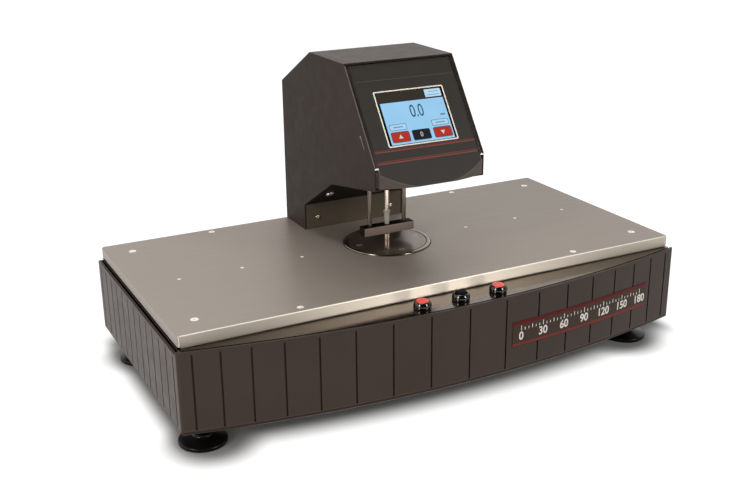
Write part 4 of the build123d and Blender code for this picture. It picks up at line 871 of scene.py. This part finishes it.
cap_black = glossy("cap_black", shade(6, 5, 5), 0.5, level=0.02)
for side, slot, finish, place in (
    ("left", "button_red", None, button_places[0]),
    ("middle", "button_black", cap_black, button_places[1]),
    ("right", "button_red", None, button_places[2]),
):
    cap_low, cap_high = (corner.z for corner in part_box(f"button_cap_{side}"))
    cap = lathe(
        [
            (0, cap_low),
            (STEM_RADIUS, cap_low),
            (STEM_RADIUS, cap_high - CAP_THICK),
            (CAP_RADIUS, cap_high - CAP_THICK),
            *arc(CAP_RADIUS - CAP_EDGE, cap_high - CAP_EDGE, CAP_EDGE, 0, 84, 5),
            (0, cap_high),
        ]
    )
    placed(cap, place)
    add_piece(f"cap_{side}_moulded", cap, f"button_{side}", slot, (f"button_cap_{side}",), finish)

# Pale bead along the plate's lower edge, which fills the upper half of the shadow line under the
# plate; its colour is painted light like the plate's face, so the shadow line shows thinner
BEAD_HEIGHT = 0.0006
BEAD_THICK = 0.0004
BEAD_INSET = (0.003, 0.0006)
bead = slab(PLATE_HIGH.x - PLATE_LOW.x - 2 * BEAD_INSET[0], BEAD_HEIGHT, BEAD_THICK)
bead_middle = (0, PLATE_LOW.y + BEAD_INSET[1], PLATE_LOW.z - BEAD_HEIGHT / 2)
placed(bead, facing(bead_middle, FORWARD, QUARTER_TURN))
bead_lit_grey = glossy("bead_lit_grey", shade(150, 141, 130), 0.5, level=0.3)
add_piece("sheet_bead", bead, "base", "black_sheet", finish=bead_lit_grey)

# Levelling feet: a moulded pad, and a stud with its thread cut where it shows
SOLE_EDGE = 0.0012
PAD_SHOULDER = 0.0015
HUB_FILLET = 0.0022
FILLET_DROP = 0.0008
HUB_EDGE = 0.0004
PAD_SEAT = 0.003
STUD_EDGE = 0.001
THREAD_CLEAR = 0.0021
RIDGE_STEPS = 32
RIDGE_FOOT = 0.44 * THREAD_PITCH
RIDGE_CREST = 0.08 * THREAD_PITCH


def thread_ridge(root, crest, low):
    """Ridge of the stud's thread about Z that starts at low, closed at both its ends."""
    bm = bmesh.new()
    ridge = ((root, -RIDGE_FOOT), (crest, -RIDGE_CREST), (crest, RIDGE_CREST), (root, RIDGE_FOOT))
    bm.faces.new([bm.verts.new((radius, 0, low + rise)) for radius, rise in ridge])
    bmesh.ops.spin(
        bm,
        geom=bm.faces[:] + bm.edges[:] + bm.verts[:],
        cent=(0, 0, 0),
        axis=(0, 0, 1),
        dvec=(0, 0, THREAD_PITCH / RIDGE_STEPS),
        angle=2 * math.pi * THREAD_TURNS,
        steps=RIDGE_STEPS * THREAD_TURNS,
    )
    bmesh.ops.holes_fill(bm, edges=[edge for edge in bm.edges if edge.is_boundary], sides=4)
    return bm


thread_foot = HUB_TOP + THREAD_CLEAR
thread_end = thread_foot + THREAD_PITCH * (THREAD_TURNS + 0.5)
for corner in ("front_left", "front_right", "rear_left", "rear_right"):
    pad_low, pad_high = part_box(f"foot_pad_{corner}")
    place = upright((pad_low.x + pad_high.x) / 2, (pad_low.y + pad_high.y) / 2)
    pad = lathe(
        [
            (0, 0),
            (PAD_RADIUS - SOLE_EDGE, 0),
            *arc(PAD_RADIUS - SOLE_EDGE, SOLE_EDGE, SOLE_EDGE, -80, 0, 4),
            *arc(PAD_RADIUS - PAD_SHOULDER, PAD_RIM - PAD_SHOULDER, PAD_SHOULDER, 0, 74, 6),
            *arc(HUB_RADIUS + HUB_FILLET, HUB_TOP - FILLET_DROP, HUB_FILLET, -106, -180, 6),
            *arc(HUB_RADIUS - HUB_EDGE, HUB_TOP - HUB_EDGE, HUB_EDGE, 0, 90, 3),
            (STUD_NECK + CLEARANCE, HUB_TOP),
            (STUD_NECK + CLEARANCE, PAD_SEAT),
            (0, PAD_SEAT),
        ]
    )
    placed(pad, place)
    pad_body = f"foot_pad_{corner}"
    add_piece(f"pad_{corner}_moulded", pad, pad_body, "foot_black", (f"foot_pad_{corner}",))
    core = lathe(
        [
            (0, STUD_BOTTOM),
            (STUD_NECK - STUD_EDGE, STUD_BOTTOM),
            (STUD_NECK, STUD_BOTTOM + STUD_EDGE),
            (STUD_NECK, thread_foot),
            (THREAD_ROOT, thread_foot + 0.0003),
            (THREAD_ROOT, thread_end),
            (STUD_RADIUS, thread_end + 0.0006),
            (STUD_RADIUS, STUD_TOP - STUD_EDGE),
            (STUD_RADIUS - STUD_EDGE, STUD_TOP),
            (0, STUD_TOP),
        ],
        steps=64,
    )
    ridge = thread_ridge(THREAD_ROOT - 0.0001, STUD_RADIUS, thread_foot + THREAD_PITCH / 2)
    stud = assemble([(core, place), (ridge, place)])
    stud_body = f"foot_stud_{corner}"
    add_piece(f"stud_{corner}_threaded", stud, stud_body, "stud_black", (f"foot_stud_{corner}",))

# Scale on the badge plate: a tick every 5 mm, longer at 15 and 30 mm, and a number every 30 mm
BADGE_FIRST = 0.0655
BADGE_LAST = 0.2455
TICK_STEP = 0.005
TICK_WIDTH = 0.0009
TICK_FOOT = 0.0787
SHORT_TICK, MIDDLE_TICK, LONG_TICK = 0.0030, 0.0044, 0.0056
NUMBER_SIZE = 0.0132
NUMBER_DROP = 0.0068
tick_count = round((BADGE_LAST - BADGE_FIRST) / TICK_STEP) + 1
badge_print = []
for index in range(tick_count):
    height = LONG_TICK if index % 6 == 0 else MIDDLE_TICK if index % 3 == 0 else SHORT_TICK
    middle = BADGE_FIRST + index * TICK_STEP
    badge_print.append((slab(TICK_WIDTH, height, LAYER), upright(middle, TICK_FOOT + height / 2)))
    if index % 6 == 0:
        figures = lettering(str(index * 5), NUMBER_SIZE, 0.94, weight=0.0003)
        badge_print.append((figures, upright(middle, TICK_FOOT - NUMBER_DROP)))
badge_scale = assemble(badge_print)
for vert in badge_scale.verts:
    across, up, lift = vert.co
    vert.co = (across, bow_y(across, BADGE_PROUD + lift), up)
add_piece("badge_scale", badge_scale, "base", "badge_dark", finish=badge_white)

# Edging of the hood: lips over the sheet's cut edges, black bars that fill the joint beside the
# fascia, and the bars' bright cut ends. The left lip is pale as a painted highlight; the top and
# right lips and the joint bars are black as painted shade
LIP_THICK = 0.0002
TOP_LIP = (0.1332, 0.0018)
SIDE_LIP_WIDTH = 0.0011
SIDE_LIP_U = 0.0661
SIDE_LIP_ENDS = (0.0028, 0.0008)
JOINT_BAR_SECTION = (0.0026, 0.0013)
JOINT_BAR_U = 0.0633
JOINT_BAR_DEPTH = 0.00145
JOINT_BAR_ENDS = (0.0032, 0.0008)
BAR_END = (0.0046, 0.0018, 0.0004)
BAR_END_MIDDLE = (0.0643, SLOPE_FOOT.y - 0.0001, 0.2546)
slope_length = (SLOPE_FOOT - SLOPE_TOP).length


def between_ends(from_top, from_foot):
    """Length and middle of a strip down the slope, from its distances to the slope's ends."""
    return slope_length - from_top - from_foot, (slope_length + from_top - from_foot) / 2


def side_lip(side):
    """Lip down one side of the slope, with its place."""
    length, middle = between_ends(*SIDE_LIP_ENDS)
    lip = slab(SIDE_LIP_WIDTH, length, LIP_THICK, 0.0002)
    return lip, on_slope(side * SIDE_LIP_U, middle, 0)


# Pale left lip: painted highlight; black lips and joint bars: painted shade
lip_highlight_satin = glossy("lip_highlight_satin", shade(112, 100, 90), 0.4).put("Metallic", 0.3)
joint_shade_black = moulded("joint_shade_black", shade(26, 22, 20), 0.4, level=0.3)
top_lip = (slab(*TOP_LIP, LIP_THICK, 0.0003), on_slope(0, 0.0013, 0))
bar_length, bar_middle = between_ends(*JOINT_BAR_ENDS)
bar_width, bar_depth = JOINT_BAR_SECTION
bar_places = [on_slope(side * JOINT_BAR_U, bar_middle, JOINT_BAR_DEPTH) for side in SIDES]
joint_bars = repeat(soften(slab(bar_width, bar_length, bar_depth), 0.0004), bar_places)
end_places = both_sides(*BAR_END_MIDDLE, FORWARD, QUARTER_TURN)
bar_ends = repeat(soften(slab(*BAR_END), 0.0001, segments=2), end_places)
hood_lips = assemble([top_lip, side_lip(1)])
add_piece("hood_lip_left", placed(*side_lip(-1)), "base", "hood_paint", finish=lip_highlight_satin)
add_piece("hood_lips", hood_lips, "base", "button_black", finish=joint_shade_black)
add_piece("joint_bars", joint_bars, "base", "button_black", finish=joint_shade_black)
add_piece("joint_bar_ends", bar_ends, "base", "screw_steel")

# Grey cheek that closes the joint beside the chin, its pale colour painted light for the lit side
# face seen through the left joint, and the pale strip behind the hood's slot, a painted reflection
# of the bright line in the slot
CHEEK = (0.0030, 0.0165, 0.0006, 0.0003)
CHEEK_MIDDLE = (-0.0636, -0.0812, 0.2428)
STRIP = (0.0013, 0.0148, 0.0003, 0.0006)
STRIP_X = -0.0662
STRIP_V = 0.0862
STRIP_DEPTH = 0.0106
STRIP_PIN_RADIUS = 0.0011
cheek = placed(slab(*CHEEK), facing(CHEEK_MIDDLE, FORWARD, QUARTER_TURN))
# Painted light: the cheek is pale where the lit chin side would show
cheek_lit_grey = painted("cheek_lit_grey", shade(96, 88, 82), 0.5, level=0.3)
add_piece("chin_cheek", cheek, "base", "hood_paint", finish=cheek_lit_grey)
strip_middle = SLOPE_TOP + DOWN_SLOPE * STRIP_V - OUT_OF_SLOPE * STRIP_DEPTH
strip_middle.x = STRIP_X
strip_place = stood(strip_middle, OUT_OF_SLOPE, DOWN_SLOPE, LEFTWARD)
pin_place = strip_place @ Matrix.Translation((0, -0.0066, 0.0003))
strip = assemble([(slab(*STRIP), strip_place), (disc(STRIP_PIN_RADIUS, 0.0002), pin_place)])
# Painted reflection: a pale strip and pin for the bright line seen in the slot
strip_painted_sheen = Finish("strip_painted_sheen", shade(150, 138, 126), metallic=0.4, roughness=0.4)
strip_painted_sheen.mottle(0.1, 0.004, 3.0)
add_piece("slot_strip", strip, "base", "hood_paint", finish=strip_painted_sheen)

# Lit picture on the touch screen, in layers over the glass
PICTURE_COLOURS = {
    name: glowing(f"picture_{name}", shade(*colour), strength)
    for name, colour, strength in (
        ("blue", (154, 206, 242), 1.0),
        ("tab", (172, 214, 244), 1.0),
        ("line", (112, 150, 186), 0.9),
        ("header", (56, 50, 42), 0.8),
        ("pale", (186, 220, 244), 1.0),
        ("digits", (66, 84, 102), 0.9),
        ("red", (190, 50, 35), 0.9),
        ("dark", (26, 30, 34), 0.9),
        ("edge", (70, 78, 104), 0.9),
        ("mark", (232, 214, 206), 0.9),
    )
}


def tile(width, height, corner=0.0):
    """Part of the picture, one layer thick."""
    return slab(width, height, LAYER, corner)


# Shape, colour, place across and down the slope, and layer of each part
TAB_V = 0.0776
KEY_V = 0.0888
KEY_U = {"left": -0.0252, "middle": 0.0001, "right": 0.0262}
KEY_FACES = {"left": "red", "middle": "dark", "right": "red"}
ARROW_RADIUS = 0.0030
ARROW_SHIFT = 0.0002
SCREEN_PARTS = {
    "field": (tile(0.0770, 0.0478), "blue", 0.0002, 0.0732, 0),
    "header": (tile(0.0795, 0.0112), "header", -0.0012, 0.0432, 0),
    "status": (tile(0.0200, 0.0090, 0.0008), "pale", 0.0282, 0.0431, 1),
    "reading": (lettering("0.0", 0.0204, 0.68, 0.00008), "digits", 0.0025, 0.0620, 1),
    "unit": (lettering("mm", 0.0040, 1.0, 0.0001), "digits", 0.0325, 0.0688, 1),
    "status_line_upper": (tile(0.0120, 0.0007), "line", 0.0292, 0.0415, 2),
    "status_line_lower": (tile(0.0150, 0.0007), "line", 0.0282, 0.0452, 2),
}
for side in ("left", "right"):
    u = KEY_U[side]
    SCREEN_PARTS[f"tab_edge_{side}"] = (tile(0.0206, 0.0070, 0.0014), "edge", u, TAB_V, 1)
    SCREEN_PARTS[f"tab_{side}"] = (tile(0.0196, 0.0060, 0.0012), "tab", u, TAB_V, 2)
    SCREEN_PARTS[f"tab_line_{side}"] = (tile(0.0120, 0.0012, 0.0005), "line", u, TAB_V, 3)
for side, u in KEY_U.items():
    SCREEN_PARTS[f"key_edge_{side}"] = (tile(0.0222, 0.0122, 0.0020), "edge", u, KEY_V, 1)
    SCREEN_PARTS[f"key_{side}"] = (tile(0.0206, 0.0106, 0.0014), KEY_FACES[side], u, KEY_V, 2)
up_arrow = disc(ARROW_RADIUS, LAYER, sides=3)
down_arrow = placed(disc(ARROW_RADIUS, LAYER, sides=3), upright(0, 0, turn=math.pi))
for mark, shape, side, shift in (
    ("mark_raise", up_arrow, "left", ARROW_SHIFT),
    ("mark_zero", lettering("0", 0.0078, 0.9), "middle", 0),
    ("mark_lower", down_arrow, "right", -ARROW_SHIFT),
):
    SCREEN_PARTS[mark] = (shape, "mark", KEY_U[side], KEY_V + shift, 3)
for part, (shape, colour, u, v, layer) in SCREEN_PARTS.items():
    placed(shape, on_slope(u, v, GLASS_DEPTH - layer * LAYER))
    add_piece(f"picture_{part}", shape, "base", "screen_glass", finish=PICTURE_COLOURS[colour])

# Marks on the rocker, each in the middle of its half
ROCKER_HALF = 0.0073
ROCKER_DISH = 0.001
MARK_PROUD = 0.0022
MARK_SIZE = 0.0042
rocker_print = []
for side, text in ((1, "I"), (-1, "O")):
    lean = ROCKER_TILT - side * math.atan2(ROCKER_DISH, ROCKER_HALF)
    outward = Vector((0, math.cos(lean), math.sin(lean)))
    middle = Vector((0, MARK_PROUD, side * ROCKER_HALF / 2))
    middle.rotate(Matrix.Rotation(ROCKER_TILT, 3, "X"))
    seat = Vector((ROCKER_X, ROCKER_PIVOT_Y, PORT_Z)) + middle
    mark_place = stood(seat, LEFTWARD, outward.cross(LEFTWARD), outward)
    rocker_print.append((lettering(text, MARK_SIZE), mark_place))
rocker_marks = assemble(rocker_print)
add_piece("rocker_marks", rocker_marks, "power_rocker", "moulded_black", finish=badge_white)

# Face of the data port and its contacts, a row of five over a row of four
PORT_FACE = (0.0150, 0.0066, 0.00004, 0.0014)
CONTACT_PITCH = 0.00277
CONTACT_ROW = 0.00142
CONTACT_BORE, CONTACT_RADIUS, CONTACT_THICK = 0.0003, 0.00062, 0.00008
port_place = facing((DATA_X, DATA_FACE, PORT_Z), BACKWARD, QUARTER_TURN)
port_face = placed(slab(*PORT_FACE), port_place)
add_piece("port_face", port_face, "base", "moulded_black")
contact_places = []
for row, count in ((1, 5), (-1, 4)):
    for index in range(count):
        x = DATA_X + (index - (count - 1) / 2) * CONTACT_PITCH
        contact_places.append(facing((x, DATA_FACE, PORT_Z + row * CONTACT_ROW), BACKWARD))
contact = flat_ring(CONTACT_BORE, CONTACT_RADIUS, 0, CONTACT_THICK, 20)
add_piece("port_contacts", repeat(contact, contact_places), "base", "brass_contact")

# Studio: white floor, world, soft lamps and camera
FLOOR_RADIUS = 9.0
FLOOR_DROP = 0.00005
floor_bm = bmesh.new()
bmesh.ops.create_circle(floor_bm, cap_ends=True, segments=64, radius=FLOOR_RADIUS)
bmesh.ops.translate(floor_bm, vec=(0, 0, -FLOOR_DROP), verts=floor_bm.verts)
floor_mesh = bpy.data.meshes.new("studio_floor")
floor_bm.to_mesh(floor_mesh)
floor_bm.free()
studio_floor = bpy.data.objects.new("studio_floor", floor_mesh)
bpy.context.scene.collection.objects.link(studio_floor)

# The floor is white up to the gauge's outline and darkens under it and round the feet: a painted
# contact shadow laid into the floor's glow
GLOW_FULL = 0.92
SHADE_MIDDLE = (0.020, 0.047)
SHADE_HALF = (0.305, 0.129)
SHADE_FADE = (0.027, 0.048)
SHADE_BOW = 0.034
FOOT_MIDDLE = (0.264, 0.118)
FOOT_SHADE = (0.022, 0.064)
floor_paint = Finish("studio_floor", (0.30, 0.30, 0.30, 1.0), roughness=0.9, level=0.0)


def shifted_by(x, y, step=(1, 1)):
    """Place on the floor measured from (x, y) and divided by step."""
    moved = floor_paint.vector("SUBTRACT", floor_paint.place, (x, y, 0))
    return floor_paint.vector("DIVIDE", moved, (*step, 1))


def rising(reach, start, end):
    """0 up to start, rising smoothly to 1 at end."""
    return floor_paint.ranged(reach, 0.0, 1.0, start, end, interpolation_type="SMOOTHSTEP")


def glow_beyond():
    """0 under the gauge's bowed outline, rising to 1 over SHADE_FADE outside it."""
    place = shifted_by(*SHADE_MIDDLE, SHADE_FADE)
    half = [reach / fade for reach, fade in zip(SHADE_HALF, SHADE_FADE)]
    parts = floor_paint.node("ShaderNodeSeparateXYZ", {"Vector": place}).outputs
    square = floor_paint.number("MULTIPLY", parts["X"], parts["X"])
    bow = floor_paint.ranged(square, SHADE_BOW / SHADE_FADE[1], 0.0, 0.0, half[0] ** 2)
    bowed = floor_paint.node("ShaderNodeCombineXYZ", {"Y": bow}).outputs["Vector"]
    folded = floor_paint.vector("ABSOLUTE", floor_paint.vector("ADD", place, bowed))
    beyond = floor_paint.vector("SUBTRACT", folded, (*half, 0))
    outside = floor_paint.vector("MAXIMUM", beyond, (0, 0, 0))
    return rising(floor_paint.vector("LENGTH", outside, output="Value"), 0.0, 1.0)


def glow_round_feet():
    """0 at each foot's middle, rising to 1 away from it."""
    folded = floor_paint.vector("ABSOLUTE", shifted_by(0, AXIS_Y))
    reach = floor_paint.vector("DISTANCE", folded, (*FOOT_MIDDLE, 0), output="Value")
    return rising(reach, *FOOT_SHADE)


# It glows only for what the camera, gloss or glass looks at, and lights no surface
floor_path = floor_paint.node("ShaderNodeLightPath").outputs
seen = floor_paint.number("MAXIMUM", floor_path["Is Camera Ray"], floor_path["Is Glossy Ray"])
seen = floor_paint.number("MAXIMUM", seen, floor_path["Is Transmission Ray"])
glow = floor_paint.number("MULTIPLY", glow_beyond(), glow_round_feet())
glow = floor_paint.number("MULTIPLY", glow, GLOW_FULL)
floor_paint.put("Emission Color", (1, 1, 1, 1))
floor_paint.put("Emission Strength", floor_paint.number("MULTIPLY", seen, glow))
floor_mesh.materials.append(floor_paint.material)

# World: white all round for the eye, and for gloss a dark room behind the camera
AMBIENT = 0.30
ROOM_STOPS = (
    (0.0, 1.0), (0.22, 1.0), (0.28, 0.3), (0.34, 0.1), (0.38, 0.04),
    (0.5, 0.04), (0.64, 0.1), (0.72, 0.3), (0.78, 1.0),
)
world = bpy.data.worlds.new("studio_world")
bpy.context.scene.world = world
world.use_nodes = True
sky = Nodes(world.node_tree)
toward = sky.node("ShaderNodeTexCoord").outputs["Generated"]
split = sky.node("ShaderNodeSeparateXYZ", {"Vector": toward}).outputs
bearing = sky.number("ARCTAN2", split["X"], sky.number("MULTIPLY", split["Y"], -1.0))
share = sky.ranged(bearing, 0.0, 1.0, -math.pi, math.pi)
room = sky.node("ShaderNodeValToRGB", {"Fac": share})
stops = room.color_ramp.elements
stops[0].position = ROOM_STOPS[0][0]
stops[1].position = ROOM_STOPS[-1][0]
for position, _ in ROOM_STOPS[1:-1]:
    stops.new(position)
for stop, (_, level) in zip(stops, ROOM_STOPS):
    stop.color = (level, level, level, 1)
sky_path = sky.node("ShaderNodeLightPath").outputs
for_gloss = sky.mix(sky_path["Is Glossy Ray"], AMBIENT, room.outputs["Color"])
for_glass = sky.mix(sky_path["Is Transmission Ray"], for_gloss, 1.0)
for_eye = sky.mix(sky_path["Is Camera Ray"], for_glass, 1.0)
background = sky.tree.nodes["Background"].inputs
background["Color"].default_value = (1, 1, 1, 1)
sky.feed(background["Strength"], for_eye)

# Lamps: one overhead, and one at each side in front
GAUGE_MIDDLE = (0, 0, 0.15)
SIDE_LAMP_REACH = 2.1
SIDE_LAMP_HEIGHT = 1.1
SIDE_LAMP_AIM = (0, 0, 0.9)


def add_softbox(name, place, aim, width, height, power, tone=(1.0, 1.0, 1.0)):
    """Oblong lamp that looks from its place at its aim."""
    lamp = bpy.data.lights.new(name, "AREA")
    lamp.shape = "RECTANGLE"
    lamp.size = width
    lamp.size_y = height
    lamp.energy = power
    lamp.color = tone
    holder = bpy.data.objects.new(name, lamp)
    holder.location = place
    holder.rotation_euler = (Vector(aim) - Vector(place)).to_track_quat("-Z", "Y").to_euler()
    bpy.context.scene.collection.objects.link(holder)


add_softbox("overhead", (-0.2, 0.3, 2.4), GAUGE_MIDDLE, 1.4, 1.0, 13)
for side, degrees, power, tone in (
    ("left", -68, 28, (1.0, 0.92, 0.87)),
    ("right", 28.5, 23, (1.0, 0.98, 0.96)),
):
    turn = math.radians(degrees)
    place = (SIDE_LAMP_REACH * math.sin(turn), -SIDE_LAMP_REACH * math.cos(turn), SIDE_LAMP_HEIGHT)
    add_softbox(f"front_{side}", place, SIDE_LAMP_AIM, 0.46, 1.2, power, tone)

# Camera, placed as the photograph's was. Its angles are bearing, height and roll in degrees.
CAMERA_LENS = 50.943
CAMERA_PLACE = (-0.554609, -1.027289, 0.552365)
CAMERA_ANGLES = (-27.452, 20.033, -0.473)
azimuth, elevation, roll = (math.radians(angle) for angle in CAMERA_ANGLES)
camera_data = bpy.data.cameras.new("photo_camera")
camera_data.lens = CAMERA_LENS
camera_data.sensor_width = 36.0
camera = bpy.data.objects.new("photo_camera", camera_data)
camera.matrix_world = (
    Matrix.Translation(CAMERA_PLACE)
    @ Matrix.Rotation(azimuth, 4, "Z")
    @ Matrix.Rotation(QUARTER_TURN - elevation, 4, "X")
    @ Matrix.Rotation(roll, 4, "Z")
)
bpy.context.scene.collection.objects.link(camera)
bpy.context.scene.camera = camera

bpy.context.scene.view_settings.view_transform = "Standard"
